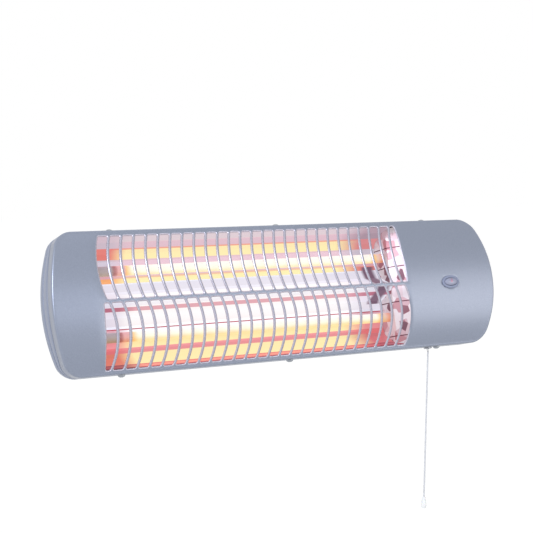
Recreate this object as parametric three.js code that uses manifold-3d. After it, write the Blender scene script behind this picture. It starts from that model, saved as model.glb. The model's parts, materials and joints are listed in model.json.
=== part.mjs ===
// Electric bar heater for a wall: two quartz tubes behind a slotted, bulging steel cover,
// held on a wall bracket it can tilt on, and switched by a pull cord.
// Millimetres. X runs along the heater, +Y into the wall, +Z up.
// The origin is the centre of the wall plate's back face, so the wall is the plane y = 0.
import * as THREE from 'three';
import { mergeVertices } from 'three/addons/utils/BufferGeometryUtils.js';
import Module from 'manifold-3d';

const wasm = await Module();
wasm.setup();

// ---------- driving dimensions ----------
const length = 502;            // over both ends
const height = 140;            // over the top and bottom walls
const depth = 100;             // wall to the front of the cover, heater upright
const frontBulge = 16;         // how far the cover's middle stands before its long edges
const bulgePower = 2.25;       // shape of the bulge, 2 is a parabola
const edgeDepth = 29.4;        // long edge of the cover to the rear rim
const endSag = 14;             // how far the rounded ends fall back at top and bottom
const cornerRadius = 13.5;     // corners of the outline
const edgeRadius = 2;          // rounded edge between the cover's face and its sides
const coverWall = 1.2;         // steel cover
const coverSide = 15.4;        // depth of the cover's side wall
const shellWall = 1.8;         // moulded frame and rear shell
const fit = 0.3;               // gap between touching pieces
const past = 1;                // how far a cutting shape runs past what it cuts
const groove = 1.6;            // shadow groove between the cover, the frame and the rear shell
const rearBand = 10.3;         // depth of the rear shell's visible band along the long walls
const rearBow = 3.5;           // how much deeper that band is at the middle of the two ends
const spigotDepth = 6;         // how far the frame reaches into the cover
const spigotLedge = 0.6;       // frame material between its groove and its spigot
const shellSpigot = 1.2;       // how far the rear shell reaches into the frame
const backDepth = 21.6;        // rear rim to the back plate's outside
const rimChamfer = 2;          // chamfer round the rear rim
const rimLedge = 9;            // width of the ledge behind the rear rim
const backInset = 20;          // how far the back plate is drawn in from the outline
const restTilt = 15.4;         // degrees the heater faces up on its bracket

const ribPitch = 12.7;         // middle to middle of two ribs
const ribWidth = 3;
const ribBow = 6;              // how far a rib bows sideways
const windowMargin = 50;       // left end of the heater to the lower row's straight end
const upperRibLead = 14.6;     // that straight end to the ends of the first upper rib
const lowerRibLead = 5.8;      // and to the ends of the first lower rib
const windowTopMargin = 6.2;   // top wall to the upper row
const windowBottomMargin = 4.8; // bottom wall to the lower row
const barMiddle = -0.8;        // middle of the bar between the two rows
const barHeight = 4;

const tubeRadius = 5;
const tubeWall = 1;
const tubeMargin = 37;         // tube middle to the nearer long wall
const tubeAhead = 3.4;         // tube middle ahead of the rear rim
const coilRadius = 2.8;
const pinRadius = 0.8;         // wire that leaves each tube end
const capRadius = 8;
const capLength = 16;
const capSeat = 8;             // how deep a tube sits in its ceramic cap
const coilSetback = 6;         // coil's end to its tube's end
const pinReach = 4;            // wire that shows past a ceramic cap
const endPlateMarginLeft = 44;
const endPlateMarginRight = 114; // the lamp and the switch share the right end
const endPlateWall = 1;
const endLipReach = 15;        // how far the folded lip leans outwards
const endLipSetback = 16;      // the cover's long edge to the fold
const reflectorWall = 0.8;
const reflectorMargin = 6;     // top wall to the upper trough's lip
const reflectorSetback = 4;    // the cover's long edge to the lip
const reflectorBackGap = 8;    // back plate to the back of the troughs
const troughHalfFloor = 12;    // half height of a trough's flat back

const screwMargin = 69;        // outer cover screws to the heater's ends
const screwDepth = 18;         // cover screws ahead of the rear rim
const screwHead = 3.8;         // head radius
const screwHeadHeight = 2.4;
const screwShank = 1.6;
const screwThread = 1.1;
const screwReach = 3.8;        // screw tip below the cover's outside

const guideAhead = 33.6;       // right end plate to the pull cord
const guideBore = 1.9;
const guideRadius = 3.4;
const guideFlange = 4.4;
const guideFlangeHeight = 1.6;
const pullTravel = 8;
const stemRadius = 1.5;
const stemShow = 2.2;          // top of the cord below the guide's flange
const cordSeat = 0.7;          // gap at the stem's tip, where the cord leans against its tilt
const cordRadius = 0.9;
const cordLength = 166;
const toggleRadius = 3;
const toggleLength = 13;

const lampAhead = 22;          // pull cord to the lamp's middle
const lampZ = -2.1;
const lampHalfWidth = 9.6;
const lampHalfHeight = 5.8;
const bezelWall = 1.4;
const bezelProud = 1.2;
const lensProud = 2.2;
const lampDepth = 7;           // the bezel's barrel behind the cover's face
const neonRadius = 1.6;
const neonOffset = 1;          // the neon's glass along the lamp's length
const neonDepth = 4;           // its middle behind the cover's face
const neonReach = 4;           // its base end, from that middle
const neonTip = 3;             // and its tip

const knobWallGap = 4;         // clamp knobs to the wall
const knobShellGap = 5;        // and to the back plate
const earX = 72;               // bracket ears, inside face
const plateHalfWidth = 95;
const plateHalfHeight = 24;
const plateWall = 2;
const earSetback = 2;          // the ears' round ends inside the knobs' rim
const boltRadius = 2.5;
const boltHead = 4;
const knobWidth = 13;
const knobLobe = 1.3;          // depth of the grip's hollows
const hubWall = 4.5;           // knob's hub round its bolt
const hubLength = 3;
const lugBase = 16;            // width of a lug's foot
const lugScrewSpread = 11;
const lugScrewRadius = 1.6;
const wallScrewPitch = 120;
const wallScrewRadius = 2.6;
const wallHoleZ = 8;
const wallSlotTop = -6;
const wallSlotBottom = -14;

const ventCount = 9;
const ventPitch = 40;
const ventWidth = 4;
const ventHeight = 18;
const ventMargin = 8;          // vents below the back plate's top edge

const glandAhead = 11.4;       // lamp's middle to the cable gland
const glandZ = -18;
const glandRadius = 7;
const glandBore = 3.8;
const glandReach = 9;          // gland behind the back plate
const blockZ = 22;
const blockDepth = 12;
const terminalPitch = 10;
const terminalWell = 2.6;
const wireRadius = 1.3;

const chamberRadius = 7;
const switchWall = 1.6;
const switchFoot = 4;          // floor of the switch box
const pistonHeight = 3;
const rotorHeight = 5;
const rotorPin = 1.5;          // the lid's pin that the rotor turns on
const rotorHeadroom = 3.4;
const lidHeight = 3;
const springTurns = 5;
const springSolid = 6;         // spring pressed flat

// ---------- worked-out sizes ----------
const halfHeight = height / 2;
const rearRim = -(depth - edgeDepth - frontBulge);
const backPlate = rearRim + backDepth;
const coverEdge = rearRim - edgeDepth;
const screwY = rearRim - screwDepth;
const screwPitch = length / 2 - screwMargin;
const endPlateLeft = -length / 2 + endPlateMarginLeft;
const endPlateRight = length / 2 - endPlateMarginRight;
const windowLeft = -length / 2 + windowMargin;
const windowRight = endPlateRight;
const windowTop = halfHeight - windowTopMargin;
const windowBottom = -halfHeight + windowBottomMargin;
const upperRibStart = windowLeft + upperRibLead;
const lowerRibStart = windowLeft + lowerRibLead;
const ribCount = Math.floor((windowRight - lowerRibStart) / ribPitch);
const tubeY = rearRim - tubeAhead;
const tubeSpread = halfHeight - tubeMargin;
const reflectorLip = halfHeight - reflectorMargin;
const reflectorFront = coverEdge + reflectorSetback;
const reflectorBack = backPlate - reflectorBackGap;
const endLipY = coverEdge + endLipSetback;
const guideX = endPlateRight + guideAhead;
const lampX = guideX + lampAhead;
const glandX = lampX + glandAhead;
const knobRadius = (-backPlate - knobWallGap - knobShellGap) / 2;
const pivotDepth = knobWallGap + knobRadius;
const earRadius = knobRadius - earSetback;
const lugX = earX - plateWall - fit - lugBase / 2;
const crown = (z, inset) => 1 - Math.min(Math.abs(z) / (halfHeight - inset), 1) ** bulgePower;
const frontY = (z, inset = 0) => rearRim - edgeDepth - frontBulge * crown(z, inset);
const seamY = (z, inset = 0) => frontY(z, inset) + coverSide;
const bandRear = (z, inset = 0) => rearRim - rearBand - rearBow * crown(z, inset);

// ---------- helpers ----------
const materials = {
  paint: { color: 0x9aa5b8, roughness: 0.38, metalness: 0.35 },
  mirror: { color: 0xdadde2, roughness: 0.12, metalness: 1 },
  glow: { color: 0xffd9a0, roughness: 0.4, metalness: 0 },
  wire: { color: 0xff8a3c, roughness: 0.5, metalness: 0.4 },
  ceramic: { color: 0xeceae4, roughness: 0.6, metalness: 0 },
  steel: { color: 0xb8bcc2, roughness: 0.3, metalness: 0.9 },
  black: { color: 0x2a2c30, roughness: 0.5, metalness: 0 },
  white: { color: 0xf0f0ee, roughness: 0.5, metalness: 0 },
  lens: { color: 0xc9b2bd, roughness: 0.2, metalness: 0 },
  bezel: { color: 0x77819a, roughness: 0.35, metalness: 0.2 },
  neon: { color: 0xd9607a, roughness: 0.3, metalness: 0 },
  sleeve: { color: 0xd8d2c4, roughness: 0.8, metalness: 0 },
};

const wall = new THREE.Group();
const heater = new THREE.Group();
const tilted = new THREE.Group();
tilted.position.set(0, -pivotDepth, 0);
tilted.rotation.x = THREE.MathUtils.degToRad(-restTilt);
heater.position.set(0, pivotDepth, 0);
tilted.add(heater);
wall.add(tilted);

function piece(parent, name, geometry, material) {
  const mesh = new THREE.Mesh(geometry, new THREE.MeshStandardMaterial(materials[material]));
  mesh.name = name;
  parent.add(mesh);
  return mesh;
}

// Merged points and faces that look outwards.
function closed(geometry) {
  for (const key of ['normal', 'uv']) geometry.deleteAttribute(key);
  const merged = mergeVertices(geometry, 1e-4);
  const p = merged.attributes.position;
  const index = merged.index.array;
  const a = new THREE.Vector3(), b = new THREE.Vector3(), c = new THREE.Vector3();
  let volume = 0;
  const kept = [];
  for (let i = 0; i < index.length; i += 3) {
    const [u, v, w] = [index[i], index[i + 1], index[i + 2]];
    if (u === v || v === w || u === w) continue;
    kept.push(u, v, w);
    a.fromBufferAttribute(p, u);
    b.fromBufferAttribute(p, v);
    c.fromBufferAttribute(p, w);
    volume += a.dot(b.cross(c));
  }
  if (volume < 0) kept.reverse();
  merged.setIndex(kept);
  return merged;
}

function solid(geometry) {
  const g = closed(geometry);
  return new wasm.Manifold(new wasm.Mesh({
    numProp: 3,
    vertProperties: new Float32Array(g.attributes.position.array),
    triVerts: new Uint32Array(g.index.array),
  }));
}

function geometryOf(manifold) {
  const mesh = manifold.getMesh();
  const g = new THREE.BufferGeometry();
  g.setAttribute('position', new THREE.BufferAttribute(mesh.vertProperties, 3));
  g.setIndex(new THREE.BufferAttribute(mesh.triVerts, 1));
  return g;
}

const asSolid = (shape) => (shape.isBufferGeometry ? solid(shape) : shape);
const cut = (base, ...tools) => tools.reduce((body, tool) => body.subtract(asSolid(tool)), asSolid(base));
const join = (base, ...more) => more.reduce((body, next) => body.add(asSolid(next)), asSolid(base));

function box(x0, x1, y0, y1, z0, z1) {
  const g = new THREE.BoxGeometry(x1 - x0, y1 - y0, z1 - z0);
  return g.translate((x0 + x1) / 2, (y0 + y1) / 2, (z0 + z1) / 2);
}

// A turned piece: profile is [radius, distance] along its axis, from `at` in the axis direction.
function turned(profile, axis, at, sides = 24) {
  const g = new THREE.LatheGeometry(profile.map(([r, h]) => new THREE.Vector2(r, h)), sides);
  if (axis === 'x') g.rotateZ(-Math.PI / 2);
  if (axis === 'z') g.rotateX(Math.PI / 2);
  return closed(g.translate(...at));
}

const rod = (radius, from, to, axis, at, sides) =>
  turned([[0, from], [radius, from], [radius, to], [0, to]], axis, at, sides);
const pipe = (outer, inner, from, to, axis, at, sides) =>
  turned([[inner, from], [outer, from], [outer, to], [inner, to], [inner, from]], axis, at, sides);

// A flat outline in X and Z, given depth along Y.
function slab(points, y0, y1) {
  const shape = new THREE.Shape(points.map(([x, z]) => new THREE.Vector2(x, z)));
  const g = new THREE.ExtrudeGeometry(shape, { depth: y1 - y0, bevelEnabled: false });
  return closed(g.rotateX(Math.PI / 2).translate(0, y1, 0));
}

// A flat outline in Y and Z, given length along X.
function profileAlongX(points, x0, x1) {
  const shape = new THREE.Shape(points.map(([y, z]) => new THREE.Vector2(y, z)));
  const g = new THREE.ExtrudeGeometry(shape, { depth: x1 - x0, bevelEnabled: false });
  const turn = new THREE.Matrix4().makeBasis(
    new THREE.Vector3(0, 1, 0), new THREE.Vector3(0, 0, 1), new THREE.Vector3(1, 0, 0));
  return closed(g.applyMatrix4(turn).translate(x0, 0, 0));
}

function disc(radius, cx, cz, steps = 20) {
  return Array.from({ length: steps }, (_, i) => {
    const a = (2 * Math.PI * i) / steps;
    return [cx + radius * Math.cos(a), cz + radius * Math.sin(a)];
  });
}

// A round wire or cord along a route.
function strand(points, radius, steps, sides = 8) {
  const path = new THREE.CatmullRomCurve3(points.map((p) => new THREE.Vector3(...p)), false, 'centripetal');
  const section = new THREE.Shape(disc(radius, 0, 0, sides).map(([x, y]) => new THREE.Vector2(x, y)));
  return closed(new THREE.ExtrudeGeometry(section, { steps, extrudePath: path, bevelEnabled: false }));
}

// ---------- the barrel outline ----------
// Heights of the outline's points, as shares of its half height: flat steps, then round corners.
const cornerShare = 1 - cornerRadius / halfHeight;
const levels = (() => {
  const straight = 8, round = 4, list = [];
  for (let i = -round; i < 0; i++) {
    list.push(-cornerShare - (1 - cornerShare) * Math.sin((-i / round) * (Math.PI / 2)));
  }
  for (let i = 0; i <= straight; i++) list.push(cornerShare * (-1 + (2 * i) / straight));
  for (let i = 1; i <= round; i++) {
    list.push(cornerShare + (1 - cornerShare) * Math.sin((i / round) * (Math.PI / 2)));
  }
  return list;
})();

function halfLength(share, inset) {
  const s = Math.abs(share);
  const into = Math.max((s - cornerShare) / (1 - cornerShare), 0);
  const radius = Math.max(cornerRadius - inset, 2);
  return length / 2 - inset - endSag * s * s - radius * (1 - Math.sqrt(Math.max(1 - into * into, 0)));
}

function barrelRing(inset, yAt) {
  const h = halfHeight - inset;
  const right = levels.map((s) => [halfLength(s, inset), yAt(s * h, inset), s * h]);
  const left = [...right].reverse().map(([x, y, z]) => [-x, y, z]);
  return [...right, ...left];
}

// A closed body through rings of the outline, from the back to the front.
function barrel(layers) {
  const rings = layers.map(([inset, yAt]) => barrelRing(inset, typeof yAt === 'number' ? () => yAt : yAt));
  const n = rings[0].length;
  const index = [];
  const quad = (a, b, c, d) => index.push(a, b, c, a, c, d);
  rings.slice(1).forEach((_, j) => {
    for (let k = 0; k < n; k++) {
      const next = (k + 1) % n;
      quad(j * n + k, j * n + next, (j + 1) * n + next, (j + 1) * n + k);
    }
  });
  const last = (rings.length - 1) * n;
  for (let i = 0; i < levels.length - 1; i++) {
    quad(i + 1, i, n - 1 - i, n - 2 - i);
    quad(last + i, last + i + 1, last + n - 2 - i, last + n - 1 - i);
  }
  const g = new THREE.BufferGeometry();
  g.setAttribute('position', new THREE.Float32BufferAttribute(rings.flat(2), 3));
  g.setIndex(index);
  return closed(g);
}

// ---------- cover ----------
function ribX(start, z, low, high, bow) {
  const t = (z - (low + high) / 2) / ((high - low) / 2);
  return start + bow * (1 - t * t);
}

// One window between two ribs, or between a rib and the row's straight end.
function windowOutline(leftStart, rightStart, low, high, bow, leftLimit, rightLimit) {
  const steps = 4;
  const edge = (start, side, from, to) => Array.from({ length: steps + 1 }, (_, i) => {
    const z = from + ((to - from) * i) / steps;
    const x = ribX(start, z, low, high, bow) + side * ribWidth / 2;
    return [Math.min(Math.max(x, leftLimit), rightLimit), z];
  });
  return [...edge(rightStart, -1, low, high), ...edge(leftStart, 1, high, low)];
}

function windowTools() {
  const rows = [
    { start: upperRibStart, low: barMiddle + barHeight / 2, high: windowTop, bow: -ribBow,
      leftEnd: windowLeft - ribBow, rightEnd: windowRight },
    { start: lowerRibStart, low: windowBottom, high: barMiddle - barHeight / 2, bow: ribBow,
      leftEnd: windowLeft, rightEnd: Infinity },
  ];
  return rows.flatMap(({ start, low, high, bow, leftEnd, rightEnd }) => {
    const tools = [];
    for (let i = -1; i < ribCount; i++) {
      const left = start + i * ribPitch;
      const outline = windowOutline(left, left + ribPitch, low, high, bow, leftEnd, rightEnd);
      tools.push(slab(outline, -depth - past, coverEdge + edgeRadius));
    }
    return tools;
  });
}

function roundedLayers(inset, from) {
  const steps = 2;
  const layers = [[inset, from]];
  for (let i = 0; i <= steps; i++) {
    const a = (i / steps) * (Math.PI / 2);
    const radius = edgeRadius - inset;
    layers.push([inset + radius * (1 - Math.cos(a)),
      (z, d) => frontY(z, d) + inset + radius * (1 - Math.sin(a))]);
  }
  return layers;
}

const uprightHole = (radius, x, z0, z1) => rod(radius, z0, z1, 'z', [x, screwY, 0], 12);

const screwXs = [-screwPitch, 0, screwPitch];
const screwHoles = (radius) => screwXs.map((x) => uprightHole(radius, x, -height, height));
const guideHole = () => uprightHole(guideRadius + fit, guideX, -height, -halfHeight / 2);

function lampOutline(grow) {
  return Array.from({ length: 24 }, (_, i) => {
    const a = (2 * Math.PI * i) / 24;
    return [lampX + (lampHalfWidth + grow) * Math.cos(a), lampZ + (lampHalfHeight + grow) * Math.sin(a)];
  });
}

function frontCover() {
  const outer = barrel(roundedLayers(0, seamY));
  const inner = barrel(roundedLayers(coverWall, (z, d) => seamY(z, d) + 2 * coverWall));
  return geometryOf(cut(outer, inner, ...windowTools(), ...screwHoles(screwShank + fit), guideHole(),
    slab(lampOutline(fit), -depth - past, coverEdge)));
}

// ---------- frame and rear shell ----------
const spigotInset = coverWall + fit;
const bandInset = shellWall + fit;

function bodyBand() {
  const outer = barrel([
    [0, bandRear],
    [0, (z, d) => seamY(z, d) + groove],
    [spigotInset, (z, d) => seamY(z, d) + groove],
    [spigotInset, (z, d) => seamY(z, d) - spigotDepth],
  ]);
  const inner = barrel([
    [shellWall, (z, d) => bandRear(z, d) + past],
    [shellWall, (z) => seamY(z, shellWall) + groove + spigotLedge],
    [spigotInset + shellWall, (z) => seamY(z, spigotInset + shellWall) + groove + spigotLedge],
    [spigotInset + shellWall, (z, d) => seamY(z, d) - spigotDepth - past],
  ]);
  return geometryOf(cut(outer, inner, ...screwHoles(screwThread + fit), guideHole()));
}

function rearHousing() {
  const wallIn = bandInset + shellWall;
  const outer = barrel([
    [backInset, backPlate],
    [rimLedge, rearRim],
    [rimChamfer, rearRim],
    [0, rearRim - rimChamfer],
    [0, (z, d) => bandRear(z, d) + groove],
    [bandInset, (z, d) => bandRear(z, d) + groove],
    [bandInset, (z, d) => bandRear(z, d) - shellSpigot],
  ]);
  const inner = barrel([
    [backInset + shellWall, backPlate - shellWall],
    [rimLedge + shellWall, rearRim - shellWall],
    [wallIn, rearRim - shellWall - rimChamfer],
    [wallIn, (z, d) => bandRear(z, d) - shellSpigot - past],
  ]);
  const ventTop = halfHeight - backInset - ventMargin;
  const vents = Array.from({ length: ventCount }, (_, i) => {
    const x = ventPitch * (i - (ventCount - 1) / 2);
    return box(x - ventWidth / 2, x + ventWidth / 2, backPlate - shellWall - past, backPlate + past,
      ventTop - ventHeight, ventTop);
  });
  const backHole = (radius, x, z, sides) =>
    rod(radius, -shellWall - past, past, 'y', [x, backPlate, z], sides);
  const lugScrews = [-1, 1].flatMap((side) => [-1, 1].map((up) =>
    backHole(lugScrewRadius + fit, side * lugX, up * lugScrewSpread, 12)));
  const inlet = backHole(glandRadius + fit, glandX, glandZ, 20);
  return geometryOf(cut(outer, inner, ...vents, ...lugScrews, inlet));
}

// ---------- reflector and tubes ----------
// The polyline pushed sideways into a closed strip of sheet metal.
function sheetOutline(line, thickness) {
  const far = line.map(([a, b], i) => {
    const [pa, pb] = line[Math.max(i - 1, 0)];
    const [na, nb] = line[Math.min(i + 1, line.length - 1)];
    const before = i ? Math.atan2(b - pb, a - pa) : Math.atan2(nb - b, na - a);
    const after = i < line.length - 1 ? Math.atan2(nb - b, na - a) : before;
    const mid = (before + after) / 2;
    const reach = thickness / Math.cos((after - before) / 2);
    return [a - reach * Math.sin(mid), b + reach * Math.cos(mid)];
  });
  return [...line, ...far.reverse()];
}

// Both troughs, from the top lip over the ridge between the tubes to the bottom lip.
function troughLine() {
  const lipRun = 18, lipDrop = 3;       // outer wall: where it bends, and how far in
  const haunchRise = 7, haunchRun = 4;  // outer bend next to the flat back
  const innerRise = 8, innerRun = 5;    // inner bend next to the flat back
  const ridgeSetback = 9, ridgeRun = 3, ridgeHalf = 3.5;
  const upper = [
    [reflectorFront, reflectorLip],
    [reflectorFront + lipRun, reflectorLip - lipDrop],
    [reflectorBack - haunchRun, tubeSpread + troughHalfFloor + haunchRise],
    [reflectorBack, tubeSpread + troughHalfFloor],
    [reflectorBack, tubeSpread - troughHalfFloor],
    [reflectorBack - innerRun, tubeSpread - troughHalfFloor - innerRise],
    [reflectorFront + ridgeSetback + ridgeRun, ridgeHalf],
  ];
  const lower = [...upper].reverse().map(([y, z]) => [y, -z]);
  return [...upper, [reflectorFront + ridgeSetback, 0], ...lower];
}

function reflector() {
  return profileAlongX(sheetOutline(troughLine(), reflectorWall),
    endPlateLeft + endPlateWall + fit, endPlateRight - endPlateWall - fit);
}

// x is the plate's outer face; it stands clear of the shell all round.
function endPlate(x, side) {
  const clear = 2, shoulder = 4, lipTop = reflectorLip + lipRise;
  const half = [
    [backPlate - shellWall - fit, halfHeight - backInset - shellWall - clear],
    [rearRim + past, halfHeight - rimLedge - shellWall - clear],
    [rearRim - shoulder, halfHeight - rimLedge - shellWall - clear / 2],
    [rearRim - shoulder, lipTop],
    [endLipY, lipTop],
  ];
  const outline = [...half, ...[...half].reverse().map(([y, z]) => [y, -z])];
  const inner = x - side * endPlateWall;
  const plate = profileAlongX(outline, Math.min(x, inner), Math.max(x, inner));
  const holes = [-1, 1].map((up) =>
    rod(tubeRadius + fit, -3 * endPlateWall, 3 * endPlateWall, 'x', [x, tubeY, up * tubeSpread], 20));
  return geometryOf(cut(join(plate, foldedLip(side, x, lipTop)), ...holes));
}

// The lip that folds outwards from the plate's front edge.
const lipRise = 0.6;
function foldedLip(side, x, lipTop) {
  const root = endLipY + fit / 2, tip = endLipY - endLipReach;
  const slantWall = endPlateWall * Math.SQRT2;
  const shape = new THREE.Shape([
    new THREE.Vector2(x - side * endPlateWall, root),
    new THREE.Vector2(x, root),
    new THREE.Vector2(x + side * endLipReach, tip),
    new THREE.Vector2(x + side * (endLipReach - slantWall), tip),
  ]);
  const g = new THREE.ExtrudeGeometry(shape, { depth: 2 * lipTop, bevelEnabled: false });
  return closed(g.translate(0, 0, -lipTop));
}

const tubeStart = endPlateLeft - capSeat;
const tubeEnd = endPlateRight + capSeat;
const pinLeft = endPlateLeft - fit - capLength - pinReach;
const pinRight = endPlateRight + fit + capLength + pinReach;
const capInner = capSeat + fit;

function quartzTube(z) {
  return pipe(tubeRadius, tubeRadius - tubeWall, tubeStart, tubeEnd, 'x', [0, tubeY, z], 16);
}

function heatingCoil(z) {
  const from = tubeStart + coilSetback, to = tubeEnd - coilSetback;
  return turned([[0, pinLeft], [pinRadius, pinLeft], [pinRadius, from], [coilRadius, from],
    [coilRadius, to], [pinRadius, to], [pinRadius, pinRight], [0, pinRight]], 'x', [0, tubeY, z], 12);
}

function ceramicCap(side, z) {
  const bore = tubeRadius + fit, hole = pinRadius + fit;
  const far = capLength, chamfer = 1.2;
  const profile = [[bore, 0], [capRadius, 0], [capRadius, far - chamfer], [capRadius - chamfer, far],
    [hole, far], [hole, capInner + fit], [bore, capInner + fit], [bore, 0]];
  const at = side < 0 ? endPlateLeft - fit : endPlateRight + fit;
  return turned(profile.map(([r, h]) => [r, side * h]), 'x', [at, tubeY, z], 16);
}

// ---------- indicator lamp ----------
function lampBezel() {
  const seat = frontY(lampZ);
  const body = slab(lampOutline(0), seat - bezelProud, seat + lampDepth);
  const flange = slab(lampOutline(bezelWall), seat - bezelProud, seat - fit);
  return geometryOf(cut(join(body, flange),
    slab(lampOutline(-bezelWall), seat - bezelProud - past, seat + lampDepth + past)));
}

function lampLens() {
  const seat = frontY(lampZ);
  const base = slab(lampOutline(-bezelWall - fit), seat - bezelProud, seat + lampDepth - 1);
  const dome = new THREE.SphereGeometry(1, 16, 6);
  dome.scale(lampHalfWidth - bezelWall - fit, lensProud, lampHalfHeight - bezelWall - fit);
  dome.translate(lampX, seat - bezelProud, lampZ);
  const neonRoom = neonRadius + fit;
  const from = neonOffset - neonReach - past, to = neonOffset + neonTip + past;
  const room = rod(neonRoom, from, to, 'x', [lampX, seat + neonDepth, lampZ], 16);
  const slot = box(lampX + from, lampX + to, seat + neonDepth, seat + lampDepth + past,
    lampZ - neonRoom, lampZ + neonRoom);
  return geometryOf(cut(join(base, dome), room, slot));
}

function neonLamp() {
  const shoulder = neonTip - neonRadius;
  return turned([[0, -neonReach], [neonRadius, -neonReach], [neonRadius, shoulder],
    [neonRadius * 0.6, neonTip - 0.4], [0, neonTip]], 'x',
    [lampX + neonOffset, frontY(lampZ) + neonDepth, lampZ], 12);
}

// ---------- pull switch ----------
const spigotFloor = -(halfHeight - spigotInset - shellWall);
const switchBase = -(halfHeight - bandInset - shellWall) + fit;
const switchFloor = switchBase + switchFoot;
const springLength = pullTravel + springSolid;
const pistonTop = switchFloor + fit + springLength + fit + pistonHeight;
const rotorTop = pistonTop + fit + rotorHeight;
const switchTop = rotorTop + rotorHeadroom;
const switchReach = chamberRadius + switchWall;
const pistonRadius = chamberRadius - 2 * fit;
const cordTop = -halfHeight - guideFlangeHeight - stemShow;

const switchBox = (z0, z1) => box(guideX - switchReach, guideX + switchReach,
  screwY - switchReach, screwY + switchReach, z0, z1);

function switchHousing() {
  const body = switchBox(switchBase, switchTop);
  const chamber = rod(chamberRadius, switchFloor, switchTop + 1, 'z', [guideX, screwY, 0], 20);
  return geometryOf(cut(body, chamber, rod(stemRadius + fit, switchBase - 1, switchFloor + 1, 'z',
    [guideX, screwY, 0], 12)));
}

function switchLid() {
  const pinTip = rotorTop - rotorHeight + past;
  const lid = switchBox(switchTop + fit, switchTop + fit + lidHeight);
  return geometryOf(join(lid, rod(rotorPin, pinTip, switchTop + past, 'z', [guideX, screwY, 0], 12)));
}

function switchRotor() {
  const notch = 0.8, notchDepth = 2, reach = pistonRadius - 0.75 * notch;
  const ring = pipe(pistonRadius, rotorPin + fit, pistonTop + fit, rotorTop, 'z', [guideX, screwY, 0], 16);
  const notches = Array.from({ length: 4 }, (_, i) => {
    const a = (Math.PI * i) / 2;
    return box(-notch, notch, -notch, notch, rotorTop - notchDepth, rotorTop + past)
      .translate(guideX + reach * Math.cos(a), screwY + reach * Math.sin(a), 0);
  });
  return geometryOf(cut(ring, ...notches));
}

function switchPlunger() {
  const tip = cordTop + cordSeat, pistonFoot = pistonTop - pistonHeight;
  return turned([[0, tip], [stemRadius, tip], [stemRadius, pistonFoot], [pistonRadius, pistonFoot],
    [pistonRadius, pistonTop], [0, pistonTop]], 'z', [guideX, screwY, 0], 14);
}

function switchSpring() {
  const wire = 0.45, radius = 3.4, perTurn = 8;
  const from = switchFloor + fit + wire, to = switchFloor + fit + springLength - wire;
  const steps = springTurns * perTurn;
  const points = Array.from({ length: steps + 1 }, (_, i) => {
    const a = (2 * Math.PI * i) / perTurn;
    return [guideX + radius * Math.cos(a), screwY + radius * Math.sin(a), from + ((to - from) * i) / steps];
  });
  return strand(points, wire, steps, 5);
}

function cordGuide() {
  const under = -halfHeight - fit;
  const top = spigotFloor - 1, low = under - guideFlangeHeight, round = 0.6, flare = 0.4, chamfer = 0.8;
  return turned([[guideBore, top], [guideRadius, top], [guideRadius, under], [guideFlange, under],
    [guideFlange, low + round], [guideFlange - chamfer, low], [guideBore + flare, low],
    [guideBore, low + round], [guideBore, top]], 'z', [guideX, screwY, 0], 14);
}

// ---------- screws, bracket, knobs ----------
function coverScrew(x, up) {
  const seat = halfHeight + fit, dome = screwHeadHeight, tip = halfHeight - screwReach;
  const profile = [[0, seat + dome], [screwHead * 0.55, seat + dome * 0.94],
    [screwHead * 0.88, seat + dome * 0.6], [screwHead, seat], [screwShank, seat],
    [screwShank, halfHeight - coverWall - fit],
    [screwThread, halfHeight - coverWall - fit], [screwThread, tip], [0, tip]];
  return turned(profile.map(([r, h]) => [r, up * h]), 'z', [x, screwY, 0], 10);
}

// Round-ended ear in Y and Z, from the plane y = root to the tilt axis.
function earOutline(root, halfRoot, radius) {
  const turn = root > -pivotDepth ? 1 : -1;
  const arc = Array.from({ length: 11 }, (_, i) => {
    const a = Math.PI / 2 - (Math.PI * i) / 10;
    return [-pivotDepth - turn * radius * Math.cos(a), radius * Math.sin(a)];
  });
  return [[root, halfRoot], ...arc, [root, -halfRoot]];
}

const boltHole = () => rod(boltRadius + fit, -length, length, 'x', [0, -pivotDepth, 0], 16);

function wallBracket() {
  const plate = box(-plateHalfWidth, plateHalfWidth, -plateWall, 0, -plateHalfHeight, plateHalfHeight);
  const ears = [-1, 1].map((side) => {
    const x = side < 0 ? -earX - plateWall : earX;
    return profileAlongX(earOutline(-plateWall / 2, 15, earRadius), x, x + plateWall);
  });
  const holes = [-1, 1].map((side) =>
    slab(disc(wallScrewRadius, side * wallScrewPitch / 2, wallHoleZ, 16), -plateWall - past, past));
  const slots = [-1, 1].map((side) => box(side * wallScrewPitch / 2 - wallScrewRadius,
    side * wallScrewPitch / 2 + wallScrewRadius, -plateWall - past, past, wallSlotBottom, wallSlotTop));
  return geometryOf(cut(join(plate, ...ears), ...holes, ...slots, boltHole()));
}

function hingeLug(side) {
  const outerX = side * (earX - fit);
  const innerX = outerX - side * plateWall;
  const ear = profileAlongX(earOutline(backPlate + fit + plateWall / 2, 14, earRadius - 1),
    Math.min(innerX, outerX), Math.max(innerX, outerX));
  const foot = box(Math.min(outerX, outerX - side * lugBase), Math.max(outerX, outerX - side * lugBase),
    backPlate + fit, backPlate + fit + plateWall, -16, 16);
  const holes = [-1, 1].map((up) => slab(disc(lugScrewRadius + fit, side * lugX, up * lugScrewSpread, 12),
    backPlate - 2, backPlate + 6));
  return geometryOf(cut(join(foot, ear), ...holes, boltHole()));
}

function lugScrew(side, up) {
  const seat = backPlate + 2 * fit + plateWall;
  return turned([[0, seat + 1.8], [2, seat + 1.6], [3, seat + 0.8], [3, seat], [lugScrewRadius, seat],
    [lugScrewRadius, backPlate - 6], [0, backPlate - 6]], 'y', [side * lugX, 0, up * lugScrewSpread], 12);
}

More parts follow.
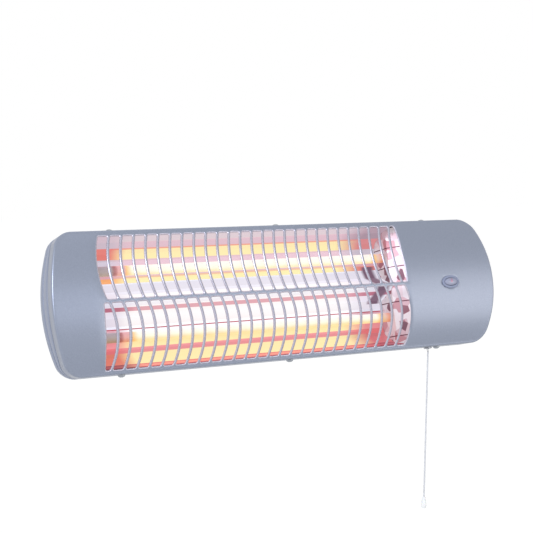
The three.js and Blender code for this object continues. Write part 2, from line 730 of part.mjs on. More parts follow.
function pivotBolt(side) {
  const headHeight = 3, tipGap = 3;
  const head = earX - fit - plateWall - fit;
  const tip = earX + plateWall + fit + knobWidth - tipGap;
  const profile = [[0, head - headHeight], [boltHead, head - headHeight], [boltHead, head],
    [boltRadius, head], [boltRadius, tip], [0, tip]];
  return turned(profile.map(([r, h]) => [r, side * h]), 'x', [0, -pivotDepth, 0], 16);
}

function clampKnob(side) {
  const lobes = 6, perLobe = 4;
  const outline = Array.from({ length: lobes * perLobe }, (_, i) => {
    const a = (2 * Math.PI * i) / (lobes * perLobe);
    const r = knobRadius - knobLobe * (1 + Math.cos(lobes * a)) / 2;
    return [r * Math.cos(a) - pivotDepth, r * Math.sin(a)];
  });
  const boreEnd = 2.4, overlap = 0.5;
  const x0 = earX + plateWall + fit, x1 = x0 + knobWidth;
  const span = (from, to) => (side < 0 ? [-to, -from] : [from, to]);
  const grip = profileAlongX(outline, ...span(x0 + hubLength, x1));
  const hub = rod(boltRadius + hubWall, ...span(x0, x0 + hubLength + overlap), 'x', [0, -pivotDepth, 0], 20);
  const bore = rod(boltRadius + fit, ...span(x0 - past, x1 - boreEnd), 'x', [0, -pivotDepth, 0], 16);
  return geometryOf(cut(join(grip, hub), bore));
}

// ---------- wiring ----------
function cableGland() {
  const flange = glandRadius + 2.5, nose = glandRadius - 1.4, flangeWall = 2.4, shoulder = 3, threadEnd = 5;
  const out = backPlate + fit, inside = backPlate - shellWall - threadEnd;
  return turned([[glandBore, out + glandReach], [nose, out + glandReach], [glandRadius, out + shoulder],
    [flange, out + flangeWall], [flange, out], [glandRadius, out], [glandRadius, inside],
    [glandBore, inside], [glandBore, out + glandReach]], 'y', [glandX, 0, glandZ], 14);
}

const shellInside = backPlate - shellWall - fit;

function glandNut() {
  const nutWall = 3, nutHeight = 4;
  const hexagon = rod(glandRadius + nutWall, -nutHeight, 0, 'y', [glandX, shellInside, glandZ], 6);
  return geometryOf(cut(hexagon,
    rod(glandRadius + fit, -nutHeight - past, past, 'y', [glandX, shellInside, glandZ], 14)));
}

const blockMargin = 6;         // terminal block past its outer screws
const wellFloor = 6;           // bottom of the screw wells, from the shell
function terminalBlock() {
  const halfWidth = terminalPitch + blockMargin, halfTall = 8;
  const body = box(glandX - halfWidth, glandX + halfWidth, shellInside - blockDepth, shellInside,
    blockZ - halfTall, blockZ + halfTall);
  const wells = [-1, 0, 1].map((i) => rod(terminalWell, -blockDepth - past, -wellFloor, 'y',
    [glandX + terminalPitch * i, shellInside, blockZ], 12));
  return geometryOf(cut(body, ...wells));
}

function terminalScrew(i) {
  const radius = terminalWell - fit, headTop = blockDepth - 1, slotDepth = 0.8, halfSlot = 0.4;
  const x = glandX + terminalPitch * i;
  const head = rod(radius, -headTop, -wellFloor - fit, 'y', [x, shellInside, blockZ], 12);
  const slot = box(x - radius - past, x + radius + past, shellInside - headTop - past,
    shellInside - headTop + slotDepth, blockZ - halfSlot, blockZ + halfSlot);
  return geometryOf(cut(head, slot));
}

// The woven wires' routes, as points chosen by hand round the caps and over the switch's lid.
const lidTop = switchTop + fit + lidHeight;
const linkBow = capRadius;
const linkLead = 3, linkDrop = 5;
const sleeves = {
  left_link_wire: [[pinLeft - fit, tubeY, tubeSpread], [pinLeft - linkLead, tubeY, tubeSpread],
    [pinLeft - linkBow + 1, tubeY, tubeSpread - linkDrop], [pinLeft - linkBow, tubeY, 0],
    [pinLeft - linkBow + 1, tubeY, linkDrop - tubeSpread], [pinLeft - linkLead, tubeY, -tubeSpread],
    [pinLeft - fit, tubeY, -tubeSpread]],
  upper_lead_wire: [[pinRight + fit, tubeY, tubeSpread], [pinRight + 4, tubeY, tubeSpread],
    [pinRight + 10, tubeY - 2, 20], [guideX - 3, screwY + 6, -8], [guideX - 4, screwY + 1, lidTop + 8],
    [guideX - 4, screwY, lidTop + fit]],
  lower_lead_wire: [[pinRight + fit, tubeY, -tubeSpread], [pinRight + 3, tubeY, -tubeSpread],
    [pinRight + 7, tubeY - 1, 10 - tubeSpread], [guideX + 1, tubeY - 6, lidTop + 9],
    [guideX + 4, screwY + 4, lidTop + 7], [guideX + 4, screwY + 3, lidTop + fit]],
};

// ---------- the heater ----------
function addHeater() {
  piece(heater, 'front_cover', frontCover(), 'paint');
  piece(heater, 'body_band', bodyBand(), 'paint');
  piece(heater, 'rear_housing', rearHousing(), 'paint');
  piece(heater, 'reflector', reflector(), 'mirror');
  piece(heater, 'reflector_end_left', endPlate(endPlateLeft, -1), 'mirror');
  piece(heater, 'reflector_end_right', endPlate(endPlateRight, 1), 'mirror');
  for (const [row, z] of [['upper', tubeSpread], ['lower', -tubeSpread]]) {
    piece(heater, `quartz_tube_${row}`, quartzTube(z), 'glow');
    piece(heater, `heating_coil_${row}`, heatingCoil(z), 'wire');
    piece(heater, `ceramic_cap_${row}_left`, ceramicCap(-1, z), 'ceramic');
    piece(heater, `ceramic_cap_${row}_right`, ceramicCap(1, z), 'ceramic');
  }
  piece(heater, 'lamp_bezel', lampBezel(), 'bezel');
  piece(heater, 'lamp_lens', lampLens(), 'lens');
  piece(heater, 'neon_lamp', neonLamp(), 'neon');
  piece(heater, 'switch_housing', switchHousing(), 'black');
  piece(heater, 'switch_lid', switchLid(), 'black');
  piece(heater, 'switch_rotor', switchRotor(), 'white');
  piece(heater, 'switch_plunger', switchPlunger(), 'white');
  piece(heater, 'switch_spring', switchSpring(), 'steel');
  piece(heater, 'cord_guide', cordGuide(), 'steel');
  screwXs.forEach((x, i) => {
    piece(heater, `cover_screw_top_${i + 1}`, coverScrew(x, 1), 'steel');
    piece(heater, `cover_screw_bottom_${i + 1}`, coverScrew(x, -1), 'steel');
  });
  for (const [name, side] of [['left', -1], ['right', 1]]) {
    piece(heater, `hinge_lug_${name}`, hingeLug(side), 'steel');
    piece(heater, `lug_screw_${name}_top`, lugScrew(side, 1), 'steel');
    piece(heater, `lug_screw_${name}_bottom`, lugScrew(side, -1), 'steel');
    piece(heater, `pivot_bolt_${name}`, pivotBolt(side), 'steel');
    piece(wall, `clamp_knob_${name}`, clampKnob(side), 'black');
  }
  piece(heater, 'cable_gland', cableGland(), 'black');
  piece(heater, 'gland_nut', glandNut(), 'black');
  piece(heater, 'terminal_block', terminalBlock(), 'white');
  [-1, 0, 1].forEach((i) => piece(heater, `terminal_screw_${i + 2}`, terminalScrew(i), 'steel'));
  for (const [name, route] of Object.entries(sleeves)) {
    piece(heater, name, strand(route, wireRadius, 16, 6), 'sleeve');
  }
}

// ---------- the cord, which hangs plumb whatever the heater's tilt ----------
function addCord() {
  const tilt = THREE.MathUtils.degToRad(-restTilt);
  const out = new THREE.Vector3(0, screwY + pivotDepth, cordTop)
    .applyAxisAngle(new THREE.Vector3(1, 0, 0), tilt);
  const top = out.z, y = out.y - pivotDepth;
  const low = top - cordLength;
  piece(wall, 'pull_cord', strand([[guideX, y, top], [guideX, y, (top + low) / 2], [guideX, y, low]],
    cordRadius, 8, 8), 'white');
  const end = low - fit, foot = end - toggleLength;
  const neck = 1.6, shoulder = 2.4, shoulderDrop = 2, belly = 3, rim = 0.6, chamfer = 1.4;
  piece(wall, 'cord_toggle', turned([[0, end], [neck, end], [shoulder, end - shoulderDrop],
    [toggleRadius, foot + belly], [toggleRadius - rim, foot + rim], [toggleRadius - chamfer, foot],
    [0, foot]], 'z', [guideX, y, 0], 14), 'white');
}

piece(wall, 'wall_bracket', wallBracket(), 'steel');
addHeater();
addCord();

export default wall;
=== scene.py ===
"""An electric bar heater on its wall bracket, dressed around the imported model.

Shapes are worked out in millimetres in the heater's own upright frame, as its maker would draw
them, and then leaned back to where it stands at rest. X runs along it, +Y into the wall, +Z up."""
import json
import math

import bmesh
import bpy
import numpy as np
from bpy.props import FloatProperty, FloatVectorProperty, PointerProperty
from mathutils import Matrix, Vector, geometry

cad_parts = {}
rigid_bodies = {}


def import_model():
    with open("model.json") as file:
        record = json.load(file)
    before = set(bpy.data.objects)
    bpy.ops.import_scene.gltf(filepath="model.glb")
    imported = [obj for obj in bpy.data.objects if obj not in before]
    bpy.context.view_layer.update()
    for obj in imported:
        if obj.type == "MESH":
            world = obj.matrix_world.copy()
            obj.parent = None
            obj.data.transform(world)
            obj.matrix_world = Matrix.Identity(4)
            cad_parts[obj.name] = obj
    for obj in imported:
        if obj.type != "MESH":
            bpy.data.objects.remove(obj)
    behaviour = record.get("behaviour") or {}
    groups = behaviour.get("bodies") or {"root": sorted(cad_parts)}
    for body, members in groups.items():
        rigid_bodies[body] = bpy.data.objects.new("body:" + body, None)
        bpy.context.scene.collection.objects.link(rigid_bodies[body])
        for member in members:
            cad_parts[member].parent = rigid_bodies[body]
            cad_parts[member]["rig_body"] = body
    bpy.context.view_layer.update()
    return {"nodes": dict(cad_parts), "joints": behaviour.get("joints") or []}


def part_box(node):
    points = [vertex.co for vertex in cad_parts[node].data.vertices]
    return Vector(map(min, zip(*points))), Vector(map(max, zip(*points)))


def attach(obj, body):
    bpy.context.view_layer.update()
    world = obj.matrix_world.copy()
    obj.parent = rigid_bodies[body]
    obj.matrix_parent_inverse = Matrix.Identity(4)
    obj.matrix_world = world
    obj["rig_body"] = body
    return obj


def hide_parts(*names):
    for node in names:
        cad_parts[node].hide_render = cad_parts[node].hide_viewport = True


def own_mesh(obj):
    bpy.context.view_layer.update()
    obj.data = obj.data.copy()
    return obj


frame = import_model()

bl_info = {
    "name": "Electric Bar Heater",
    "version": (1, 0, 0),
    "blender": (4, 5, 0),
    "location": "View3D > Sidebar > Bar Heater",
    "description": "Builds a wall heater with two quartz tubes behind a slotted steel cover",
    "category": "Add Mesh",
}

# ---------- the maker's dimensions, in millimetres ----------
HALF_LENGTH, HALF_HEIGHT = 251, 70
REAR_RIM, EDGE_DEPTH = -54.6, 29.4
BULGE, BULGE_POWER = 16, 2.25
END_SAG, CORNER = 14, 13.5
EDGE_RADIUS, COVER_WALL, COVER_SIDE = 2, 1.2, 15.4
SHELL_WALL, FIT, GROOVE = 1.8, 0.3, 1.6
REAR_BAND, REAR_BOW, BACK_DEPTH, RIM_LEDGE, BACK_INSET = 10.3, 3.5, 21.6, 9, 20
COVER_EDGE = REAR_RIM - EDGE_DEPTH
BACK_PLATE = REAR_RIM + BACK_DEPTH
SPIGOT_DEPTH, SPIGOT_INSET = 6, COVER_WALL + FIT
VENT_COUNT, VENT_PITCH, VENT_LENGTH, VENT_RADIUS = 9, 40, 18, 2
VENT_TOP = HALF_HEIGHT - BACK_INSET - 8

WINDOW_LEFT, WINDOW_RIGHT = -201, 137
WINDOW_TOP, WINDOW_BOTTOM = 63.8, -65.2
UPPER_RIBS, LOWER_RIBS, RIB_COUNT = -186.4, -195.2, 26
BAR_MIDDLE, BAR_HALF = -0.8, 2

TUBE_Y, TUBE_SPREAD, TUBE_RADIUS, TUBE_WALL = -58, 33, 5, 1
END_LEFT, END_RIGHT, END_WALL = -207, 137, 1
CAP_SEAT, CAP_REACH, TROUGH_WALL = 8, 20, 0.8

SCREW_Y, SCREW_PITCH, SCREW_HEAD, SCREW_HEIGHT = -72.6, 182, 3.8, 2.4
GUIDE_X, CORD_HOLE, PULL_STROKE = 170.6, 3.7, 8
LAMP_X, LAMP_Z, LAMP_ROLL = 192.6, -2.1, 0.4
LAMP_HALF_WIDTH, LAMP_HALF_HEIGHT, BEZEL_WALL = 9.6, 5.8, 1.4
GLAND_X, GLAND_Z, GLAND_RADIUS, GLAND_BORE = 204, -18, 7, 3.8
EAR_X, PLATE_WALL, PIVOT_DEPTH = 72, 2, 16
KNOB_RADIUS, KNOB_WIDTH, KNOB_LOBES, LOBE_DEPTH = 12, 13, 6, 1.3
BOLT_RADIUS, HUB_RADIUS, HUB_LENGTH = 2.5, 7, 3
LUG_X, LUG_SPREAD, LUG_SCREW = 61.7, 11, 1.6

# Where the upright heater stands at rest: leaned back about its pivot, as the pull's axis says.
PIVOT = Vector((0, -PIVOT_DEPTH, 0))
PULL = next(j for j in frame["joints"] if j["name"] == "pull_travel")["axis"]
LEAN = math.atan2(-PULL[1], -PULL[2])
TO_METRES = Matrix.Scale(0.001, 4)
TO_REST = (TO_METRES @ Matrix.Translation(PIVOT) @ Matrix.Rotation(-LEAN, 4, "X")
           @ Matrix.Translation(-PIVOT))
TO_UPRIGHT = TO_REST.inverted()
SIDES = (("left", -1), ("right", 1))
ALONG, UP, REARWARDS = (1, 0, 0), (0, 0, 1), (0, 1, 0)


# ---------- the heater's outline ----------
def crown(z, inset=0):
    """1 at the middle height, falling to 0 at the long walls."""
    return 1 - min(abs(z) / (HALF_HEIGHT - inset), 1) ** BULGE_POWER


def front_y(z, inset=0):
    """The bulging face: its middle stands ahead of its long edges."""
    return COVER_EDGE - BULGE * crown(z, inset)


def seam_y(z, inset=0):
    """The rear edge of the cover's sides, which bulges as its face does."""
    return front_y(z, inset) + COVER_SIDE


def rear_y(z, inset=0):
    """Where the frame meets the rear shell, a line that bows forwards at the two ends."""
    return REAR_RIM - REAR_BAND - REAR_BOW * crown(z, inset)


def wall_y(z, inset=0):
    """The wall itself, flat at Y 0."""
    return 0


CORNER_SHARE = 1 - CORNER / HALF_HEIGHT


def levels(flat_steps=30, round_steps=8):
    """Shares of the half height from the bottom wall to the top, close together in the corners."""
    curve = [CORNER_SHARE + (1 - CORNER_SHARE) * math.sin(math.pi / 2 * i / round_steps)
             for i in range(1, round_steps + 1)]
    flat = [CORNER_SHARE * (-1 + 2 * i / flat_steps) for i in range(flat_steps + 1)]
    return [-s for s in reversed(curve)] + flat + curve


def half_length(share, inset):
    """Half the outline's length at a height, with its sagging ends and round corners."""
    share = abs(share)
    into = min(max((share - CORNER_SHARE) / (1 - CORNER_SHARE), 0), 1)
    radius = max(CORNER - inset, 2)
    return HALF_LENGTH - inset - END_SAG * share * share - radius * (1 - math.sqrt(1 - into * into))


def outline(inset, line, step=0, long_steps=72):
    """One ring round the heater, a step behind a line of its depth: up the right end, along the
    top, down the left end and back along the bottom."""
    right = [(half_length(s, inset), s * (HALF_HEIGHT - inset)) for s in levels()]
    (x, high), low = right[-1], right[0][1]
    along = [x * (1 - 2 * i / long_steps) for i in range(1, long_steps)]
    left = [(-a, b) for a, b in reversed(right)]
    ring = right + [(a, high) for a in along] + left + [(-a, low) for a in along]
    return [(a, line(b, inset) + step, b) for a, b in ring]


# ---------- shapes, as points and faces ----------
def around(sides):
    """The angles of a round's points."""
    return [2 * math.pi * i / sides for i in range(sides)]


def moved(point, by):
    return tuple(p + q for p, q in zip(point, by))


def facing(axis, u, v, w):
    """A point that lies w along the axis, and u and v across it."""
    return {"X": (w, u, v), "Y": (u, w, v), "Z": (u, v, w)}[axis]


def loft(rings, caps=False, endless=False):
    """Skin through rings of equal count; caps closes the two ends, endless joins them."""
    count = len(rings[0])
    points = [p for ring in rings for p in ring]
    faces = []
    for j in range(len(rings) if endless else len(rings) - 1):
        a, b = j * count, (j + 1) % len(rings) * count
        faces += [[a + k, a + (k + 1) % count, b + (k + 1) % count, b + k] for k in range(count)]
    if caps:
        faces += [list(range(count)), list(range(len(points) - count, len(points)))]
    return points, faces


def turned(profile, axis, at, sides=48):
    """A lathe piece. Its profile is (radius, distance along the axis), and one that ends where it
    starts makes a ring."""
    closed = profile[0] == profile[-1]
    rows = []
    for radius, along in profile[:-1] if closed else profile:
        radius = max(radius, 0.001)
        rows.append([moved(facing(axis, radius * math.cos(a), radius * math.sin(a), along), at)
                     for a in around(sides)])
    return loft(rows, caps=not closed, endless=closed)


def prism(shape, low, high, axis):
    """A flat shape given depth along an axis."""
    return loft([[facing(axis, u, v, w) for u, v in shape] for w in (low, high)], caps=True)


def merged(*shapes):
    """Several shapes as one."""
    points, faces = [], []
    for more_points, more_faces in shapes:
        faces += [[i + len(points) for i in face] for face in more_faces]
        points += more_points
    return points, faces


def oval(half_width, half_height, x, z, steps=64):
    return [(x + half_width * math.cos(a), z + half_height * math.sin(a)) for a in around(steps)]


def rounded_corner(before, at, after, radius, steps):
    """The arc that takes the place of a sharp corner, and uses up less than half of each side."""
    before, at, after = Vector(before), Vector(at), Vector(after)
    one, two = before - at, after - at
    limit = 0.46 * min(one.length, two.length)
    one.normalize(), two.normalize()
    half = one.angle(two) / 2
    nearly_straight = math.pi / 2 - half < 0.01
    if nearly_straight:
        return [tuple(at)]
    run = min(radius / math.tan(half), limit)
    radius = run * math.tan(half)
    middle = at + (one + two).normalized() * radius / math.sin(half)
    start, end = at + one * run - middle, at + two * run - middle
    turn = start.angle(end)
    arc = []
    for i in range(steps + 1):
        spoke = start * math.sin(turn * (1 - i / steps)) + end * math.sin(turn * i / steps)
        arc.append(tuple(middle + spoke / math.sin(turn)))
    return arc


# ---------- pieces ----------
def link(name, data, material=None):
    """A new object in the scene, and its data under the same name."""
    obj = bpy.data.objects.new(name, data)
    data.name = name
    bpy.context.scene.collection.objects.link(obj)
    if material:
        data.materials.append(material)
    return obj


def cleaned(bm, weld, speck):
    """Joins points closer than weld, and drops edges and faces thinner than speck."""
    bmesh.ops.remove_doubles(bm, verts=bm.verts, dist=weld)
    bmesh.ops.dissolve_degenerate(bm, edges=bm.edges, dist=speck)


def formed(shape, place=TO_REST):
    """A clean closed mesh from points in millimetres and faces, put in its place."""
    mesh = bpy.data.meshes.new("form")
    mesh.from_pydata(shape[0], [], shape[1])
    bm = bmesh.new()
    bm.from_mesh(mesh)
    cleaned(bm, weld=0.01, speck=0.001)
    bmesh.ops.recalc_face_normals(bm, faces=bm.faces)
    bm.transform(place)
    bm.to_mesh(mesh)
    bm.free()
    return mesh


def without(mesh, *tools):
    """The mesh with closed tool shapes taken out of it, for holes, slots and recesses."""
    body, tool = link("body", mesh), link("tool", formed(merged(*tools)))
    cut = body.modifiers.new("cut", "BOOLEAN")
    cut.operation, cut.solver, cut.object = "DIFFERENCE", "MANIFOLD", tool
    bpy.context.view_layer.update()
    evaluated = body.evaluated_get(bpy.context.evaluated_depsgraph_get())
    result = bpy.data.meshes.new_from_object(evaluated)
    for spent in (body, tool):
        old = spent.data
        bpy.data.objects.remove(spent)
        bpy.data.meshes.remove(old)
    if not result.polygons:
        raise RuntimeError("a cut left nothing of its piece")
    result.materials.clear()
    return result


def stand_in(name, mesh, material, node, angle=35):
    """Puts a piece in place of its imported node, on the body it moves with. Faces that meet at less
    than the angle, in degrees, are shaded as one."""
    for face in mesh.polygons:
        face.use_smooth = True
    mesh.set_sharp_from_angle(angle=math.radians(angle))
    obj = link(name, mesh, material)
    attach(obj, frame["nodes"][node]["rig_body"])
    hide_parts(node)
    return obj


def second_finish(piece, material, covers):
    """Gives a second material to the faces that it covers, by their place in the upright heater."""
    piece.data.materials.append(material)
    for face in piece.data.polygons:
        if covers(*(TO_UPRIGHT @ face.center)):
            face.material_index = 1


def bare_copy(node):
    """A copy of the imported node's mesh, without its material."""
    mesh = frame["nodes"][node].data.copy()
    mesh.materials.clear()
    return mesh


def softened(node, material, width):
    """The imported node's own form, its edges broken by width millimetres as a moulding's or a
    pressing's are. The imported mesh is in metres, and so are the distances here."""
    mesh = bare_copy(node)
    bm = bmesh.new()
    bm.from_mesh(mesh)
    bmesh.ops.remove_doubles(bm, verts=bm.verts, dist=5e-5)
    flat, sharp = math.radians(2), math.radians(30)
    bmesh.ops.dissolve_limit(bm, angle_limit=flat, verts=bm.verts, edges=bm.edges)
    edges = [e for e in bm.edges if len(e.link_faces) == 2 and e.calc_face_angle() > sharp]
    bmesh.ops.bevel(bm, geom=edges, offset=width / 1000, segments=2, profile=0.6, affect="EDGES",
                    clamp_overlap=True)
    cleaned(bm, weld=2e-6, speck=1e-6)
    bm.to_mesh(mesh)
    bm.free()
    return stand_in(node + "_form", mesh, material, node, angle=40)


def upright_span(node):
    """A node's lowest and highest point in the upright frame, in millimetres."""
    heights = [(TO_UPRIGHT @ v.co).z for v in frame["nodes"][node].data.vertices]
    return min(heights), max(heights)


# ---------- finishes: how they are put together ----------
MIX_UNDER, MIX_OVER, MIX_RESULT = 6, 7, 2  # the Mix node's colour sockets share names with others


def colour(code):
    """An sRGB hex colour as linear values."""
    parts = [int(code[i:i + 2], 16) / 255 for i in (1, 3, 5)]
    return tuple(c / 12.92 if c <= 0.04045 else ((c + 0.055) / 1.055) ** 2.4 for c in parts)


def rgba(tone):
    """A hex code, or a linear colour from the sidebar, as the four values a socket takes."""
    return (*(colour(tone) if isinstance(tone, str) else tone[:3]), 1)


def shade(tone, factor):
    """A linear colour made darker or lighter."""
    return tuple(c * factor for c in tone[:3])


def add(tree, kind, inputs=None, **settings):
    """Adds one shader node with its settings. An input is a value, a hex colour, or another node's
    output to link."""
    node = tree.nodes.new(kind)
    for name, value in settings.items():
        setattr(node, name, value)
    for socket, value in (inputs or {}).items():
        if isinstance(value, bpy.types.NodeSocket):
            tree.links.new(value, node.inputs[socket])
        else:
            node.inputs[socket].default_value = rgba(value) if isinstance(value, str) else value
    return node


def emptied(owner):
    """The node tree of a material or a world, with nothing in it."""
    owner.use_nodes = True
    owner.node_tree.nodes.clear()
    return owner.node_tree


def surface(name, **sockets):
    """A new material with one Principled shader, its fixed values set on the shader's sockets."""
    material = bpy.data.materials.new(name)
    tree = emptied(material)
    fixed = {socket.replace("_", " "): value for socket, value in sockets.items()}
    shader = add(tree, "ShaderNodeBsdfPrincipled", fixed)
    add(tree, "ShaderNodeOutputMaterial", {"Surface": shader.outputs["BSDF"]})
    return material, tree, shader


def feed(tree, shader, **sockets):
    """Links what varies over a surface to its shader."""
    for socket, output in sockets.items():
        tree.links.new(output, shader.inputs[socket.replace("_", " ")])


def stops(ramp, *pairs):
    """Sets a colour ramp's stops from (position, colour) pairs, and gives its colour output."""
    elements = ramp.color_ramp.elements
    while len(elements) > 1:
        elements.remove(elements[-1])
    elements[0].position, elements[0].color = pairs[0][0], rgba(pairs[0][1])
    for position, tone in pairs[1:]:
        elements.new(position).color = rgba(tone)
    return ramp.outputs["Color"]


def grains(tree, size, stretch=(1, 1, 1), detail=3):
    """A pattern of grains size millimetres across, drawn out along an axis whose stretch is
    below 1."""
    where = add(tree, "ShaderNodeTexCoord").outputs["Object"]
    scaled = add(tree, "ShaderNodeMapping", {"Vector": where, "Scale": stretch})
    return add(tree, "ShaderNodeTexNoise", {"Vector": scaled.outputs["Vector"],
                                            "Scale": 1000 / size, "Detail": detail}).outputs["Fac"]


def threads(tree, where, spacing, wobble=0, **settings):
    """A pattern of threads for a real spacing in millimetres. A wave texture repeats every tau / 20
    units, so they are drawn tau (6.3) times as coarse: a millimetre or two is too fine to show."""
    return add(tree, "ShaderNodeTexWave", {"Vector": where, "Scale": 1000 / spacing / 20,
                                           "Distortion": wobble}, **settings).outputs["Fac"]


def crossed(tree, spacing, leans, join, **settings):
    """Two sets of threads, each turned by its lean in radians, and joined by a Math operation."""
    where = add(tree, "ShaderNodeTexCoord").outputs["Object"]
    sets = []
    for lean in leans:
        laid = add(tree, "ShaderNodeMapping", {"Vector": where, "Rotation": lean})
        sets.append(threads(tree, laid.outputs["Vector"], spacing, **settings))
    return add(tree, "ShaderNodeMath", {0: sets[0], 1: sets[1]}, operation=join).outputs["Value"]


def relief(tree, shader, pattern, height):
    """Raises the surface where the pattern is bright, by height millimetres."""
    rise = add(tree, "ShaderNodeBump", {"Height": pattern, "Distance": height / 1000,
                                        "Strength": 1})
    feed(tree, shader, Normal=rise.outputs["Normal"])


def mottled(tree, shader, pattern, dark, light, low=0.35, high=0.65):
    """Varies the base colour between two colours by a pattern."""
    ramp = add(tree, "ShaderNodeValToRGB", {"Fac": pattern})
    feed(tree, shader, Base_Color=stops(ramp, (low, dark), (high, light)))


def laid_over(tree, tone, *layers):
    """A colour with others laid over it in turn, each given as (where it covers, colour)."""
    for where, over in layers:
        inputs = {"Factor": where, MIX_UNDER: tone, MIX_OVER: over}
        tone = add(tree, "ShaderNodeMix", inputs, data_type="RGBA").outputs[MIX_RESULT]
    return tone


def leaned(direction):
    """A direction of the upright frame as it points at rest."""
    return (TO_REST.to_3x3() @ Vector(direction)).normalized()


def upright(tree, direction, low, high):
    """How far along a direction of the upright frame a point is, from 0 at low to 1 at high."""
    line = leaned(direction)
    where = add(tree, "ShaderNodeTexCoord").outputs["Object"]
    along = add(tree, "ShaderNodeVectorMath", {0: where, 1: line}, operation="DOT_PRODUCT")
    start = PIVOT.dot(line) / 1000
    return add(tree, "ShaderNodeMapRange", {
        "Value": along.outputs["Value"], "From Min": start + low / 1000,
        "From Max": start + high / 1000}).outputs["Result"]


def height_share(z):
    """Where a height in millimetres comes between the bottom and the top of the heater."""
    return (z + HALF_HEIGHT) / (2 * HALF_HEIGHT)


def banded(tree, height, *bands):
    """Level bands with sharp edges, given from the lowest up as (where it starts, colour)."""
    ramp = add(tree, "ShaderNodeValToRGB", {"Fac": height})
    ramp.color_ramp.interpolation = "CONSTANT"
    return stops(ramp, *((height_share(z), tone) for z, tone in bands))


def throwing_back(tree, shader, painted_light, share):
    """A sheet with the tubes' light painted on as a reflection: its colour is the painted light over
    a share of it, and it glows in that painted light.
    """
    sheet = add(tree, "ShaderNodeVectorMath", {0: painted_light, "Scale": share}, operation="SCALE")
    feed(tree, shader, Base_Color=sheet.outputs["Vector"], Emission_Color=painted_light)


# ---------- finishes: what each surface is ----------
def powder_coated_steel(paint):
    """Pressed sheet steel, powder-coated in metallic silver-blue: satin, with aluminium flakes that
    sparkle faintly and the soft orange peel of a baked coat. Flakes of 0.05 mm are drawn at 0.7 mm
    to show."""
    material, tree, shader = surface("powder_coated_steel", Metallic=0.62, Roughness=0.37,
                                     Coat_Weight=0.12, Coat_Roughness=0.2)
    mottled(tree, shader, grains(tree, 0.7), shade(paint, 0.93), shade(paint, 1.07))
    relief(tree, shader, grains(tree, 1.6, detail=1), 0.012)
    return material


def rolled_edge_painted_highlight():
    """The same powder coat on the rolled edges of the slots, lighter and pinker than the face: a
    painted highlight with a painted reflection of the tubes' glow, so each rib carries a pale line
    along its sides."""
    material, tree, shader = surface("rolled_edge_painted_highlight", Metallic=0.5, Roughness=0.33,
                                     Coat_Weight=0.1, Coat_Roughness=0.25)
    mottled(tree, shader, grains(tree, 0.7), "#ACA8B6", "#BDB8C4")
    relief(tree, shader, grains(tree, 3, detail=1), 0.004)
    return material


def lacquered_abs(paint):
    """Moulded ABS sprayed in the same silver-blue lacquer: a little softer in its shine than the
    steel, over the fine spark-eroded texture of the mould. Its flakes and that texture are drawn
    at 0.8 and 0.5 mm to show."""
    material, tree, shader = surface("lacquered_abs", Metallic=0.5, Roughness=0.4,
                                     Coat_Weight=0.15, Coat_Roughness=0.25)
    mottled(tree, shader, grains(tree, 0.8), shade(paint, 0.92), shade(paint, 1.06))
    relief(tree, shader, grains(tree, 0.5), 0.01)
    return material


def groove_painted_shade():
    """Black ABS, dark and matt, on the faces down in the joints: painted shade that makes the
    grooves between the bands dark."""
    material, tree, shader = surface("groove_painted_shade", Roughness=0.6, IOR=1.53)
    mottled(tree, shader, grains(tree, 0.8), "#24262C", "#31343C")
    return material


def bright_aluminium():
    """Bright-rolled aluminium sheet of the end plates, with faint rolling marks. It is hand-bent and
    uneven, and painted reflections of the glow lie on it in patches from white through pink to plum,
    9 mm across, in which it glows. The lip is snipped into tabs, and painted shade in the snips
    shows as short dark lines 1.2 mm wide."""
    material, tree, shader = surface("bright_aluminium", Metallic=0.85, Roughness=0.4,
                                     Emission_Strength=0.5)
    where = add(tree, "ShaderNodeTexCoord").outputs["Object"]
    painted_reflection_cells = add(tree, "ShaderNodeTexVoronoi", {"Vector": where, "Scale": 1000 / 9,
                                               "Smoothness": 0.12}, feature="SMOOTH_F1")
    reflection_cell = add(tree, "ShaderNodeSeparateColor", {"Color": painted_reflection_cells.outputs["Color"]})
    painted_reflection_patches = stops(add(tree, "ShaderNodeValToRGB", {"Fac": reflection_cell.outputs["Red"]}),
                    (0.1, "#86606E"), (0.24, "#C98E98"), (0.4, "#DDB8C2"), (0.62, "#E9DEE6"),
                    (0.9, "#F2E4EA"))
    # painted shade along the snips, laid over the painted reflections
    snip_shade_lines = [band for z in (-55, -17.9, 21.2, 42.2)
            for band in ((z - 0.6, "#FFFFFF"), (z + 0.6, "#000000"))]
    painted_snip_shade = banded(tree, upright(tree, UP, -HALF_HEIGHT, HALF_HEIGHT),
                   (-HALF_HEIGHT, "#000000"), *snip_shade_lines)
    throwing_back(tree, shader, laid_over(tree, painted_reflection_patches, (painted_snip_shade, "#6B3A4A")), 0.4)
    relief(tree, shader, grains(tree, 0.8, stretch=(1, 0.02, 1)), 0.02)
    return material


